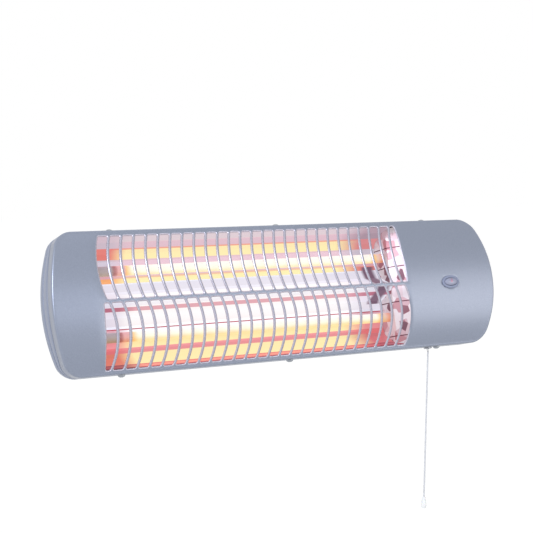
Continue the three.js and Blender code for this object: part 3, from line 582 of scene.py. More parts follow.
def aluminium_with_painted_reflections():
    """Bright-rolled aluminium troughs behind hot tubes, with painted reflections of the tubes in
    level bands of yellow, pink and white, which turn red and grey towards both ends where the
    windings stop.
    Only the side that faces the tubes carries that painted light, and there it glows. A painted
    shadow darkens the ridge past the windings."""
    material, tree, shader = surface("aluminium_with_painted_reflections", Metallic=0.9, Roughness=0.34)
    normal = add(tree, "ShaderNodeTexCoord").outputs["Normal"]
    turn = add(tree, "ShaderNodeVectorMath", {0: normal, 1: leaned(REARWARDS)},
               operation="DOT_PRODUCT")
    lit_side = add(tree, "ShaderNodeMapRange", {"Value": turn.outputs["Value"], "From Min": 0.04,
                                                "From Max": -0.04, "To Min": 0, "To Max": 0.8})
    feed(tree, shader, Emission_Strength=lit_side.outputs["Result"])

    white, haze, yellow, gold = "#FAFAFF", "#E8E8F6", "#FBEBB4", "#FAE3AC"
    pink, rose, red, grey = "#E3C3CF", "#E8959A", "#E0787C", "#D3C8D2"
    height = upright(tree, UP, -HALF_HEIGHT, HALF_HEIGHT)
    # painted reflections of the tubes, band by band up the troughs
    middle = banded(tree, height, (-70, red), (-60.5, yellow), (-48.6, rose), (-43.2, gold),
                    (-30, white), (-24.8, "#B85A66"), (-23.9, white), (-8.2, "#DDAAB8"),
                    (-4.9, white), (9, haze), (22, yellow), (27.2, "#EEC2A8"), (28.6, pink),
                    (46, yellow), (54.8, "#EFA892"), (56, "#DFC0CC"), (61, grey))

    def towards_end(lowest, lower_fold, upper_trough, upper_fold, highest):
        return banded(tree, height, (-70, lowest), (-60.5, lower_fold), (-48.6, red), (-43.2, rose),
                      (-30, "#D8A8B4"), (-24.8, "#B84A5C"), (-23.9, haze), (-8.2, "#B8748A"),
                      (-4.9, haze), (22, upper_trough), (27.2, "#DFAEB8"), (38, "#CCC2D0"),
                      (46, upper_fold), (56, highest))
    left = towards_end("#8E4C58", "#DC8270", "#F4AE78", "#E5867E", "#CCBECA")
    right = towards_end("#A0505E", "#D0787E", "#E08C88", "#D98F92", "#AD98A6")
    near_left = upright(tree, ALONG, WINDOW_LEFT + 43, WINDOW_LEFT + 26)
    near_right = upright(tree, ALONG, 85, 114)
    # a painted shadow on the ridge between the troughs, past the windings at the right end
    past_winding = add(tree, "ShaderNodeMath", {
        0: upright(tree, ALONG, 115, 119), 1: upright(tree, ALONG, 134, 129)}, operation="MINIMUM")
    on_ridge = banded(tree, height, (-70, "#000000"), (-16, "#FFFFFF"), (26, "#000000"))
    shadow = add(tree, "ShaderNodeMath", {0: past_winding.outputs["Value"], 1: on_ridge},
                 operation="MULTIPLY").outputs["Value"]
    painted_light = laid_over(tree, middle, (near_left, left), (near_right, right), (shadow, "#7C6478"))
    throwing_back(tree, shader, painted_light, 0.26)
    relief(tree, shader, grains(tree, 0.8, stretch=(0.02, 1, 1)), 0.02)
    return material


def milky_quartz(glow):
    """Satin fused quartz round a hot winding: even milk-white glass, lit from inside. It is pale in
    its middle and yellow on its underside, orange and red towards its ends, and dark red where the
    winding stops. The turns, 2.2 mm apart, show as faint rings, drawn 14 mm apart to show."""
    material, tree, shader = surface("milky_quartz", Base_Color="#8F8680", Roughness=0.4, IOR=1.46,
                                     Emission_Strength=glow.tube_strength)
    along = upright(tree, ALONG, END_LEFT - CAP_SEAT, END_RIGHT + CAP_SEAT)
    heat = stops(add(tree, "ShaderNodeValToRGB", {"Fac": along}),
                 (0, "#8E8496"), (0.098, "#A096A6"), (0.104, "#8C3040"), (0.112, "#A8485A"),
                 (0.118, glow.tube_end), (0.136, glow.tube_end), (0.142, glow.tube_hot),
                 (0.16, "#FFFFFF"), (0.92, "#FFFFFF"), (0.938, glow.tube_hot), (0.95, "#E6C6C6"),
                 (0.965, "#E08868"), (0.978, "#8E8496"), (1, "#6A6074"))
    height = upright(tree, UP, -HALF_HEIGHT, HALF_HEIGHT)
    under_to_top = (glow.tube_under, glow.tube_middle, glow.tube_top)
    lower, upper = (-37, -33, -30), (28, 31, 36)
    sides = stops(add(tree, "ShaderNodeValToRGB", {"Fac": height}),
                  *((height_share(z), tone) for z, tone in zip(lower + upper, under_to_top * 2)))
    both = add(tree, "ShaderNodeVectorMath", {0: heat, 1: sides}, operation="MULTIPLY")
    where = add(tree, "ShaderNodeTexCoord").outputs["Object"]
    turns = threads(tree, where, 2.2, wobble=0.4, bands_direction="X")
    rings = add(tree, "ShaderNodeMapRange", {"Value": turns, "To Min": 0.94, "To Max": 1.02})
    lit = add(tree, "ShaderNodeVectorMath", {0: both.outputs["Vector"],
                                             "Scale": rings.outputs["Result"]}, operation="SCALE")
    feed(tree, shader, Emission_Color=lit.outputs["Vector"])
    relief(tree, shader, grains(tree, 3), 0.02)
    return material


def hot_resistance_wire():
    """Drawn iron-chrome wire at red heat, its skin scaled unevenly by oxide."""
    material, tree, shader = surface("hot_resistance_wire", Metallic=0.4, Roughness=0.6,
                                     Emission_Strength=1.2)
    scale = grains(tree, 1.2)
    mottled(tree, shader, scale, "#5A3A2C", "#8A5A3C")
    embers = add(tree, "ShaderNodeValToRGB", {"Fac": scale})
    feed(tree, shader, Emission_Color=stops(embers, (0.3, "#FF7A28"), (0.7, "#FFB25C")))
    return material


def steatite():
    """Pressed and fired steatite, unglazed: chalky off-white with a fine dry grain, which is drawn
    at 0.9 mm to show."""
    material, tree, shader = surface("steatite", Roughness=0.72, IOR=1.55)
    grain = grains(tree, 0.9, detail=5)
    mottled(tree, shader, grain, "#DDD9D0", "#F1EEE8")
    relief(tree, shader, grain, 0.05)
    return material


def satin_grey_abs(ring):
    """Moulded grey-blue ABS with a light satin texture, for the lamp's surround. The texture is
    drawn at 0.4 mm to show."""
    material, tree, shader = surface("satin_grey_abs", Roughness=0.38, IOR=1.53)
    mottled(tree, shader, grains(tree, 0.9), shade(ring, 0.9), shade(ring, 1.08))
    relief(tree, shader, grains(tree, 0.4), 0.012)
    return material


def frosted_polycarbonate(lens):
    """Frosted polycarbonate over a lit neon: a smooth greyish-pink dome, with the neon's glow
    painted
    on it: a red spot that glows, and a paler spot of its second electrode above."""
    material, tree, shader = surface("frosted_polycarbonate", Roughness=0.2, IOR=1.58,
                                     Coat_Weight=0.3, Coat_Roughness=0.1, Emission_Strength=0.1)
    where = add(tree, "ShaderNodeTexCoord").outputs["Object"]

    def spot(x, z, reach):
        middle = TO_REST @ Vector((x, front_y(LAMP_Z) - 3, z))
        away = add(tree, "ShaderNodeVectorMath", {0: where, 1: middle}, operation="DISTANCE")
        return add(tree, "ShaderNodeMapRange", {
            "Value": away.outputs["Value"], "From Min": 0.0008, "From Max": reach / 1000,
            "To Min": 1, "To Max": 0}, interpolation_type="SMOOTHSTEP").outputs["Result"]
    # the neon's glow, painted on the dome as two spots
    red, pale = spot(LAMP_X - 0.2, LAMP_Z + 0.4, 1.9), spot(LAMP_X + 0.2, LAMP_Z + 2.6, 1.3)
    feed(tree, shader, Base_Color=laid_over(tree, rgba(lens), (red, "#B08098"), (pale, "#9C7A90")),
         Emission_Color=laid_over(tree, "#000000", (red, "#E0506C")))
    relief(tree, shader, grains(tree, 0.6), 0.006)
    return material


def neon_glass():
    """A clear glass bulb full of red neon glow, which is uneven along it."""
    material, tree, shader = surface("neon_glass", Base_Color="#E0A0AA", Roughness=0.05, IOR=1.5,
                                     Emission_Strength=1)
    glow = add(tree, "ShaderNodeValToRGB", {"Fac": grains(tree, 3)})
    feed(tree, shader, Emission_Color=stops(glow, (0.3, "#B83048"), (0.7, "#FF6A60")))
    return material


def black_nylon():
    """Glass-filled nylon, moulded matt: near black, with the dry speckle of fibres at its skin,
    which is drawn at 0.7 mm to show."""
    material, tree, shader = surface("black_nylon", Roughness=0.55, IOR=1.52)
    speckle = grains(tree, 0.7, detail=5)
    mottled(tree, shader, speckle, "#1E1F22", "#323439")
    relief(tree, shader, speckle, 0.03)
    return material


def white_acetal():
    """Moulded white acetal: waxy and smooth, hardly textured."""
    material, tree, shader = surface("white_acetal", Roughness=0.32, IOR=1.48,
                                     Subsurface_Weight=0.05)
    skin = grains(tree, 1.5)
    mottled(tree, shader, skin, "#EDEDEA", "#F6F6F4")
    relief(tree, shader, skin, 0.01)
    return material


def zinc_plated_steel():
    """Pressed steel, bright zinc-plated: grey, with a faint cloudy bloom and rolling marks 0.6 mm
    apart."""
    material, tree, shader = surface("zinc_plated_steel", Metallic=1, Roughness=0.34)
    mottled(tree, shader, grains(tree, 18, detail=4), "#8D949F", "#A4A7AB")
    relief(tree, shader, grains(tree, 0.6, stretch=(0.05, 1, 1)), 0.01)
    return material


def nickel_plated_steel():
    """Turned or headed steel, nickel-plated: bright and grey, with tool marks 0.5 mm apart."""
    material, tree, shader = surface("nickel_plated_steel", Metallic=1, Roughness=0.22)
    mottled(tree, shader, grains(tree, 2.5), "#7A7D86", "#A2A5AC")
    relief(tree, shader, grains(tree, 0.5, stretch=(1, 1, 0.2)), 0.008)
    return material


def woven_glass_sleeve():
    """Braided glass-fibre sleeve, varnished: cream, with crossing threads 0.8 mm apart, which are
    drawn 5 mm apart to show."""
    material, tree, shader = surface("woven_glass_sleeve", Roughness=0.75, Sheen_Weight=0.2)
    weave = crossed(tree, 0.8, ((0.7, 0.8, 0.8), (0.7, -0.8, -0.8)), "MULTIPLY")
    mottled(tree, shader, weave, "#BDB5A2", "#E6DFCF", 0.1, 0.7)
    relief(tree, shader, weave, 0.15)
    return material


def braided_polyester(cord):
    """Braided polyester cord: off-white and slightly glossy. Its plaits slant round it 1.5 mm
    apart, and are drawn 9 mm apart to show."""
    material, tree, shader = surface("braided_polyester", Roughness=0.55, Sheen_Weight=0.3)
    braid = crossed(tree, 1.5, ((0, 0.6, 0), (0, -0.6, 0)), "MAXIMUM", bands_direction="Z")
    mottled(tree, shader, braid, shade(cord, 0.86), cord, 0.2, 0.8)
    relief(tree, shader, braid, 0.05)
    return material


def finish(build, *tones):
    """The material that a finish builds, made once."""
    return bpy.data.materials.get(build.__name__) or build(*tones)


# ---------- what a user would change ----------
def measure(name, description, default, least, most):
    return FloatProperty(name=name, description=description, default=default, min=least, max=most,
                         unit="LENGTH")


def swatch(name, description, code):
    return FloatVectorProperty(name=name, description=description, default=colour(code), min=0,
                               max=1, subtype="COLOR")


CORD_LENGTH = round(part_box("pull_cord")[1].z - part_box("pull_cord")[0].z, 4)


class BarHeaterSizes(bpy.types.PropertyGroup):
    rib_pitch: measure("Rib Pitch", "Middle to middle of two ribs", 0.0127, 0.006, 0.03)
    rib_width: measure("Rib Width", "Width of a rib of the cover", 0.003, 0.001, 0.01)
    rib_bow: measure("Rib Bow", "How far a rib bows sideways", 0.006, 0, 0.02)
    window_corner: measure("Window Corner", "Radius of the windows' corners",
                           0.0015, 0.0002, 0.004)
    rib_rounding: measure("Rib Rounding", "Width of the rolled edge along a window",
                          0.0014, 0.0002, 0.00145)
    cord_length: measure("Cord Length", "Pull cord from the switch to its toggle",
                         CORD_LENGTH, 0.05, 1)
    cord_diameter: measure("Cord Diameter", "Thickness of the pull cord", 0.0018, 0.0005, 0.006)


class BarHeaterColours(bpy.types.PropertyGroup):
    paint: swatch("Cover Paint", "Baked paint of the steel cover", "#8B92A2")
    shell: swatch("Frame and Shell", "Lacquer of the moulded frame and rear shell", "#868EA2")
    ring: swatch("Lamp Ring", "Surround of the indicator lamp", "#858DA6")
    lens: swatch("Lamp Lens", "Frosted dome of the indicator lamp", "#9498AE")
    cord: swatch("Cord", "Braid of the pull cord", "#D2D3D6")
    tube_top: swatch("Tube Top", "Glow of a tube's upper side", "#FFFAF2")
    tube_middle: swatch("Tube Middle", "Glow of a tube's middle height", "#FFF8DE")
    tube_under: swatch("Tube Underside", "Glow of a tube's underside", "#FBE29C")
    tube_hot: swatch("Tube Shoulder", "Glow of a tube towards its ends", "#FFC860")
    tube_end: swatch("Tube End", "Glow of a tube's ends", "#E0A0AC")
    tube_strength: FloatProperty(name="Tube Strength", description="Brightness of the tubes' glow",
                                 default=0.85, min=0, max=20)


def sizes():
    return bpy.context.scene.bar_heater_sizes


def colours():
    return bpy.context.scene.bar_heater_colours


# ---------- the cover ----------
# A hole's rolled edge, in steps from the flat face to the hole: shares of its width out from the
# hole, and of its depth back from the face.
ROLL_STEPS = ((1, 0), (0.72, 0.13), (0.26, 0.52), (0, 1))


def window_loop(left_x, right_x, low, high, corner, steps=18):
    """A window's edge, anticlockwise, with round corners: up its right side, down its left."""
    climbs = [(high - low) * i / steps for i in range(steps + 1)]
    right = [(right_x(low + climb), low + climb) for climb in climbs]
    left = [(left_x(high - climb), high - climb) for climb in climbs]
    sides = [left[-1], *right, *left[:-1]]
    corners = {0, 1, steps + 1, steps + 2}
    loop = []
    for i, at in enumerate(sides):
        following = sides[(i + 1) % len(sides)]
        loop += rounded_corner(sides[i - 1], at, following, corner, 4) if i in corners else [at]
    return loop


def cover_windows():
    """The edge of every window between two ribs, in both rows. The upper row's ribs bow to the
    left and the lower row's to the right, and the end windows stop at the cover's own edges."""
    size = sizes()
    pitch, width, bow, corner = (
        1000 * v for v in (size.rib_pitch, size.rib_width, size.rib_bow, size.window_corner))
    rows = ((UPPER_RIBS, BAR_MIDDLE + BAR_HALF, WINDOW_TOP, -bow, WINDOW_LEFT - bow, WINDOW_RIGHT),
            (LOWER_RIBS, WINDOW_BOTTOM, BAR_MIDDLE - BAR_HALF, bow, WINDOW_LEFT, math.inf))
    loops = []
    for first_rib, low, high, lean, left_end, right_end in rows:
        def side(rib, half_width):
            """The line of a rib's side, which bows by the lean at its middle height."""
            def x(z):
                t = (z - (low + high) / 2) / ((high - low) / 2)
                return min(max(rib + lean * (1 - t * t) + half_width, left_end), right_end)
            return x
        for i in range(-1, RIB_COUNT):
            rib = first_rib + i * pitch
            loops.append(window_loop(side(rib, width / 2), side(rib + pitch, -width / 2),
                                     low, high, corner))
    return loops


def grown(loop, by):
    """The loop pushed outwards."""
    result = []
    for i, (x, z) in enumerate(loop):
        (ax, az), (bx, bz) = loop[i - 1], loop[(i + 1) % len(loop)]
        run = math.hypot(bx - ax, bz - az) or 1
        result.append((x + by * (bz - az) / run, z - by * (bx - ax) / run))
    return result


def edge_drop(inset, wall=0):
    """How far the rounded edge has turned back at an inset: outside, or inside at the wall."""
    radius = EDGE_RADIUS - wall
    turn = math.acos(max(-1, min(1, 1 - (inset - wall) / radius)))
    return wall + radius * (1 - math.sin(turn))


def filling_points(edges):
    """Points spread over the plain parts of the face, so that its triangles follow the bulge: two
    lines inside its rim, and a net at both ends, all kept clear of the edges."""
    across, up, clear = 4, 3.1, 1.05
    loose = [(x, z) for inset in (3.2, 5) for x, _, z in outline(inset, front_y)]
    ends = [*range(8 - HALF_LENGTH, END_LEFT, across),
            *range(WINDOW_RIGHT + 6, HALF_LENGTH - 6, across)]
    loose += [(x, z) for x in ends for z in np.arange(8 - HALF_HEIGHT, HALF_HEIGHT - 7, up)
              if abs(x) < half_length(z / (HALF_HEIGHT - 6), 6) - 1.5]
    return [p for p in loose if np.min(np.hypot(edges[:, 0] - p[0], edges[:, 1] - p[1])) > clear]


def face_net(holes):
    """The flat face in triangles: its points, its triangles, and the innermost loop that each
    point lies on or in. Loop 0 is the plain face, and each hole, given as (its edge, its rolled
    edge's width and depth), has one for each roll step."""
    rim = [(x, z) for x, _, z in outline(EDGE_RADIUS, front_y)]
    points, faces = list(rim), [list(range(len(rim)))]
    for loop, width, _ in holes:
        for out, _ in ROLL_STEPS:
            faces.append(list(range(len(points), len(points) + len(loop))))
            points += grown(loop, width * out)
    points += filling_points(np.array(points))
    inside_only, join_within, with_sources = 1, 1e-5, True
    flat, _, triangles, _, _, sources = geometry.delaunay_2d_cdt(
        [Vector(p) for p in points], [], faces, inside_only, join_within, with_sources)
    innermost = [0] * len(flat)
    kept = []
    for triangle, source in zip(triangles, sources):
        inner = max(source)
        for v in triangle:
            innermost[v] = max(innermost[v], inner)
        if inner == 0 or inner % len(ROLL_STEPS):
            kept.append(list(triangle))
    return flat, kept, innermost


def cover_face():
    """The slotted face as a skin of the sheet: both sides, and the wall of every hole between."""
    roll = 1000 * sizes().rib_rounding
    holes = [(loop, roll, 1) for loop in cover_windows()]
    lamp_hole = oval(LAMP_HALF_WIDTH + FIT, LAMP_HALF_HEIGHT + FIT, LAMP_X, LAMP_Z)
    holes.append((lamp_hole, LAMP_ROLL, LAMP_ROLL))
    flat, kept, innermost = face_net(holes)
    front, back = [], []
    for (x, z), inner in zip(flat, innermost):
        y, drop = front_y(z, EDGE_RADIUS), 0
        if inner:
            hole, step = divmod(inner - 1, len(ROLL_STEPS))
            drop = holes[hole][2] * ROLL_STEPS[step][1]
        front.append((x, y + drop, z))
        back.append((x, y + COVER_WALL, z))
    uses = {}
    for a, b, c in kept:
        for edge in ((a, b), (b, c), (c, a)):
            uses.setdefault((min(edge), max(edge)), []).append(edge)
    count = len(front)
    sheet = kept + [[v + count for v in reversed(triangle)] for triangle in kept]
    for edges in uses.values():
        a, b = edges[0]
        if len(edges) == 1 and innermost[a] and innermost[b]:
            sheet.append([b, a, a + count, b + count])
    used = sorted({v for face in sheet for v in face})
    renumber = {v: i for i, v in enumerate(used)}
    every = front + back
    return [every[v] for v in used], [[renumber[v] for v in face] for face in sheet]


def cover_sides():
    """The rounded edge from the face to the side walls, their rear edge, and both insides."""
    def outer(z, inset):
        return front_y(z, inset) + edge_drop(inset)

    def inner(z, inset):
        return front_y(z, inset) + edge_drop(inset, COVER_WALL)
    outside = [outline(d, outer) for d in (EDGE_RADIUS, 1.48, 1, 0.6, 0.27, 0.07, 0)]
    rear = [outline(0, seam_y, -0.3), outline(0.3, seam_y), outline(0.9, seam_y),
            outline(COVER_WALL, seam_y, -0.3)]
    inside = [outline(d, inner) for d in (COVER_WALL, 1.25, 1.4, 1.65, EDGE_RADIUS)]
    return loft(outside + rear + inside)


def on_rolled_edge(x, y, z):
    """Whether a place is on a window's rolled edge, and not on the face or the sheet's back."""
    reach, reach_where_it_bows = 1.2, 7.6
    return (WINDOW_LEFT - reach_where_it_bows < x < WINDOW_RIGHT + reach
            and WINDOW_BOTTOM - reach < z < WINDOW_TOP + reach
            and 0.06 < y - front_y(z, EDGE_RADIUS) < COVER_WALL - 0.05)


def cord_hole(height):
    """The hole up through the underside, for the cord's guide."""
    return turned([(CORD_HOLE, -HALF_HEIGHT - 5), (CORD_HOLE, -HALF_HEIGHT + height)], "Z",
                  (GUIDE_X, SCREW_Y, 0), 32)


class BARHEATER_OT_cover(bpy.types.Operator):
    """Pressed steel cover: two rows of curved ribs on a bulging face, with a rounded edge"""
    bl_idname = "bar_heater.cover"
    bl_label = "Front Cover"

    def execute(self, context):
        mesh = without(formed(merged(cover_face(), cover_sides())), cord_hole(8))
        cover = stand_in("slotted_cover", mesh, finish(powder_coated_steel, colours().paint),
                         "front_cover", angle=50)
        # the windows' rolled edges take the painted highlight
        second_finish(cover, finish(rolled_edge_painted_highlight), on_rolled_edge)
        return {"FINISHED"}


# ---------- frame and rear shell ----------
def frame_form():
    """The frame's section all round: its band, and a spigot that reaches into the cover."""
    inner = SPIGOT_INSET + SHELL_WALL
    section = [(0.45, rear_y, 0), (0.13, rear_y, -0.13), (0, rear_y, -0.45),
               (0, seam_y, GROOVE + 0.45), (0.13, seam_y, GROOVE + 0.13), (0.45, seam_y, GROOVE),
               (SPIGOT_INSET, seam_y, GROOVE), (SPIGOT_INSET, seam_y, -SPIGOT_DEPTH),
               (inner, seam_y, -SPIGOT_DEPTH), (inner, seam_y, GROOVE + 0.6),
               (SHELL_WALL, seam_y, GROOVE + 0.6), (SHELL_WALL, rear_y, 0)]
    return formed(loft([outline(*point) for point in section], endless=True))


def shell_form():
    """The shell's section, from its inside over the tongue and the rim to its back."""
    tongue = SHELL_WALL + FIT
    wall = tongue + SHELL_WALL
    section = [(BACK_INSET + SHELL_WALL, wall_y, BACK_PLATE - SHELL_WALL),
               (RIM_LEDGE + SHELL_WALL, wall_y, REAR_RIM - SHELL_WALL),
               (wall, wall_y, REAR_RIM - 3.8), (wall, rear_y, -1.2), (tongue, rear_y, -1.2),
               (tongue, rear_y, GROOVE), (0.5, rear_y, GROOVE), (0.15, rear_y, GROOVE + 0.15),
               (0, rear_y, GROOVE + 0.5), (0, wall_y, REAR_RIM - 2), (0.27, wall_y, REAR_RIM - 1),
               (1, wall_y, REAR_RIM - 0.27), (2, wall_y, REAR_RIM), (8, wall_y, REAR_RIM),
               (8.8, wall_y, REAR_RIM + 0.3), (9.45, wall_y, REAR_RIM + 0.95),
               (19.1, wall_y, BACK_PLATE - 1.8), (19.7, wall_y, BACK_PLATE - 0.8),
               (20.5, wall_y, BACK_PLATE - 0.2), (21.6, wall_y, BACK_PLATE)]
    return formed(loft([outline(*point) for point in section], caps=True))


def vent(x):
    """A round-ended slot through the back, standing up."""
    ends = ((VENT_TOP - VENT_RADIUS, 0), (VENT_TOP - VENT_LENGTH + VENT_RADIUS, math.pi))
    shape = [(x + VENT_RADIUS * math.cos(a), z + VENT_RADIUS * math.sin(a))
             for z, turn in ends for a in (turn + math.pi * k / 8 for k in range(9))]
    return prism(shape, BACK_PLATE - 4, BACK_PLATE + 2, "Y")


def back_hole(radius, x, z, sides):
    """A round hole through the back, with clearance for what goes through it."""
    return turned([(radius + FIT, -4), (radius + FIT, 2)], "Y", (x, BACK_PLATE, z), sides)


class BARHEATER_OT_shell(bpy.types.Operator):
    """Moulded frame and rear shell: two bands behind the cover, each after a shadow groove"""
    bl_idname = "bar_heater.shell"
    bl_label = "Frame and Rear Shell"

    def execute(self, context):
        paint, groove_shade = finish(lacquered_abs, colours().shell), finish(groove_painted_shade)
        mesh = without(frame_form(), cord_hole(12))
        piece = stand_in("moulded_frame", mesh, paint, "body_band", angle=42)
        # the faces down in the groove under the cover's edge take the painted shade
        second_finish(piece, groove_shade, lambda x, y, z: y < seam_y(z) + GROOVE - 0.05)

        vents = [vent(VENT_PITCH * (i - VENT_COUNT // 2)) for i in range(VENT_COUNT)]
        holes = [back_hole(LUG_SCREW, side * LUG_X, up * LUG_SPREAD, 20)
                 for side in (-1, 1) for up in (-1, 1)]
        mesh = without(shell_form(), *vents, *holes, back_hole(GLAND_RADIUS, GLAND_X, GLAND_Z, 32))
        piece = stand_in("rear_shell", mesh, paint, "rear_housing", angle=42)
        # the faces down in the groove behind the frame take the painted shade
        second_finish(piece, groove_shade, lambda x, y, z: y < rear_y(z) + GROOVE - 0.05)
        return {"FINISHED"}


# ---------- reflector and tubes ----------
def trough_line():
    """The reflector's section, from the top lip over the ridge between the tubes to the bottom."""
    front, back, lip = COVER_EDGE + 4, BACK_PLATE - 8, HALF_HEIGHT - 6
    upper = [(front, lip), (front + 18, lip - 3), (back - 4, TUBE_SPREAD + 19),
             (back, TUBE_SPREAD + 12), (back, TUBE_SPREAD - 12), (back - 5, TUBE_SPREAD - 20),
             (front + 12, 3.5)]
    return [*upper, (front + 9, 0), *[(y, -z) for y, z in reversed(upper)]]


def bent_sheet(line, thickness, bend=0.8):
    """A strip of sheet metal along a line, with small round bends and flats that stay flat."""
    middle = [line[0]]
    for i in range(1, len(line) - 1):
        middle += rounded_corner(line[i - 1], line[i], line[i + 1], bend, 3)
    middle.append(line[-1])
    far = []
    for i, at in enumerate(middle):
        a, b = middle[max(i - 1, 0)], middle[min(i + 1, len(middle) - 1)]
        run = Vector((b[0] - a[0], b[1] - a[1])).normalized()
        far.append((at[0] - thickness * run.y, at[1] + thickness * run.x))
    return middle + far[::-1]


class BARHEATER_OT_reflector(bpy.types.Operator):
    """Bright aluminium reflector: two folded troughs and the end plates that carry the tubes"""
    bl_idname = "bar_heater.reflector"
    bl_label = "Reflector"

    def execute(self, context):
        ends = END_LEFT + END_WALL + FIT, END_RIGHT - END_WALL - FIT
        mesh = formed(prism(bent_sheet(trough_line(), TROUGH_WALL), *ends, "X"))
        stand_in("folded_troughs", mesh, finish(aluminium_with_painted_reflections),
                 "reflector", angle=12)
        for name, _ in SIDES:
            softened(f"reflector_end_{name}", finish(bright_aluminium), 0.15)
        return {"FINISHED"}


class BARHEATER_OT_tubes(bpy.types.Operator):
    """Two quartz tubes with their windings, held in ceramic caps at both ends"""
    bl_idname = "bar_heater.tubes"
    bl_label = "Quartz Tubes"

    def execute(self, context):
        quartz, wire = finish(milky_quartz, colours()), finish(hot_resistance_wire)
        start, end = END_LEFT - CAP_SEAT, END_RIGHT + CAP_SEAT
        outer, bore, rim, rings = TUBE_RADIUS, TUBE_RADIUS - TUBE_WALL, 0.3, 12
        tube = [(bore, start + rim), (bore + rim, start), (outer - rim, start),
                (outer, start + rim),
                *[(outer, start + (end - start) * i / rings) for i in range(1, rings)],
                (outer, end - rim), (outer - rim, end), (bore + rim, end), (bore, end - rim),
                (bore, start + rim)]
        cap = [(5.3, 0.2), (5.5, 0), (7.6, 0), (8, 0.4), (8, 14.6), (7.75, 15.4), (7.2, 15.85),
               (6.4, 16), (1.4, 16), (1.1, 15.7), (1.1, 8.6), (5.3, 8.6), (5.3, 0.2)]
        for row, z in (("upper", TUBE_SPREAD), ("lower", -TUBE_SPREAD)):
            mesh = formed(turned(tube, "X", (0, TUBE_Y, z)))
            stand_in(f"tube_{row}", mesh, quartz, f"quartz_tube_{row}")
            winding = frame["nodes"][f"heating_coil_{row}"].data
            winding.materials.clear()
            winding.materials.append(wire)
            for name, side in SIDES:
                at = END_LEFT - FIT if side < 0 else END_RIGHT + FIT
                mesh = formed(turned([(r, side * h) for r, h in cap], "X", (at, TUBE_Y, z)))
                stand_in(f"cap_{row}_{name}", mesh, finish(steatite),
                         f"ceramic_cap_{row}_{name}")
        return {"FINISHED"}


# ---------- lamp ----------
class BARHEATER_OT_lamp(bpy.types.Operator):
    """Oval indicator lamp: a grey ring, a frosted dome and the neon behind it"""
    bl_idname = "bar_heater.lamp"
    bl_label = "Indicator Lamp"

    def execute(self, context):
        seat, wall = front_y(LAMP_Z), BEZEL_WALL

        def ring(half_width, half_height, y):
            return [(x, seat + y, z) for x, z in oval(half_width, half_height, LAMP_X, LAMP_Z)]
        bezel = [(-wall, 7), (-wall, -0.8), (0.3 - wall, -1.2), (0.2, -1.2), (1, -1.0),
                 (1.32, -0.75), (wall, -0.5), (wall, -0.3), (0, -0.3), (0, 7)]
        rings = [ring(LAMP_HALF_WIDTH + grow, LAMP_HALF_HEIGHT + grow, y) for grow, y in bezel]
        stand_in("lamp_ring", formed(loft(rings, endless=True)),
                 finish(satin_grey_abs, colours().ring), "lamp_bezel")

        wide, tall = LAMP_HALF_WIDTH - wall - FIT, LAMP_HALF_HEIGHT - wall - FIT
        hollow = [(0.25, 1), (0.82, 1.2), (0.86, 6), (1, 6)]
        quarter = [math.pi / 2 * i / 10 for i in range(10)]
        dome = [(math.cos(a), -1.2 - 2.2 * math.sin(a)) for a in quarter] + [(0.04, -3.4)]
        rings = [ring(wide * share, tall * share, y) for share, y in hollow + dome]
        stand_in("lamp_dome", formed(loft(rings, caps=True)),
                 finish(frosted_polycarbonate, colours().lens), "lamp_lens", angle=60)

        bulb = [(0, -4), (1, -3.95), (1.45, -3.6), (1.6, -3), (1.6, 1.4), (1.45, 2.1), (0.96, 2.6),
                (0.4, 2.95), (0, 3)]
        mesh = formed(turned(bulb, "X", (LAMP_X + 1, seat + 4, LAMP_Z), 32))
        stand_in("neon_bulb", mesh, finish(neon_glass), "neon_lamp")
        return {"FINISHED"}


# ---------- screws and small turned pieces ----------
def dome_screw(radius, height, seat, shank, tip, axis, at, up):
    """A domed head with a cross recess, on a plain shank; seat and tip lie along the axis."""
    quarter = [math.pi / 2 * i / 10 for i in range(11)]
    dome = [(radius * math.sin(a), seat + height * math.cos(a)) for a in quarter]
    profile = [*dome, (radius, seat), (shank, seat), (shank, tip + 0.6), (shank * 0.6, tip),
               (0, tip)]
    mesh = formed(turned([(r, up * h) for r, h in profile], axis, at, 36))
    reach, deep, half_slot = radius * 0.52, height * 0.5, radius * 0.14
    low, high = sorted((up * (seat + height - deep), up * (seat + height + 1)))
    for u, v in ((reach, half_slot), (half_slot, reach)):
        points, faces = prism([(-u, -v), (u, -v), (u, v), (-u, v)], low, high, axis)
        mesh = without(mesh, ([moved(point, at) for point in points], faces))
    return mesh


class BARHEATER_OT_cover_screws(bpy.types.Operator):
    """Six dome-headed screws along the long edges of the cover"""
    bl_idname = "bar_heater.cover_screws"
    bl_label = "Cover Screws"

    def execute(self, context):
        for row, up in (("top", 1), ("bottom", -1)):
            for i in (1, 2, 3):
                mesh = dome_screw(SCREW_HEAD, SCREW_HEIGHT, seat=HALF_HEIGHT + FIT, shank=1.6,
                                  tip=HALF_HEIGHT - 3.8, axis="Z",
                                  at=(SCREW_PITCH * (i - 2), SCREW_Y, 0), up=up)
                stand_in(f"dome_screw_{row}_{i}", mesh, finish(zinc_plated_steel),
                         f"cover_screw_{row}_{i}")
        return {"FINISHED"}


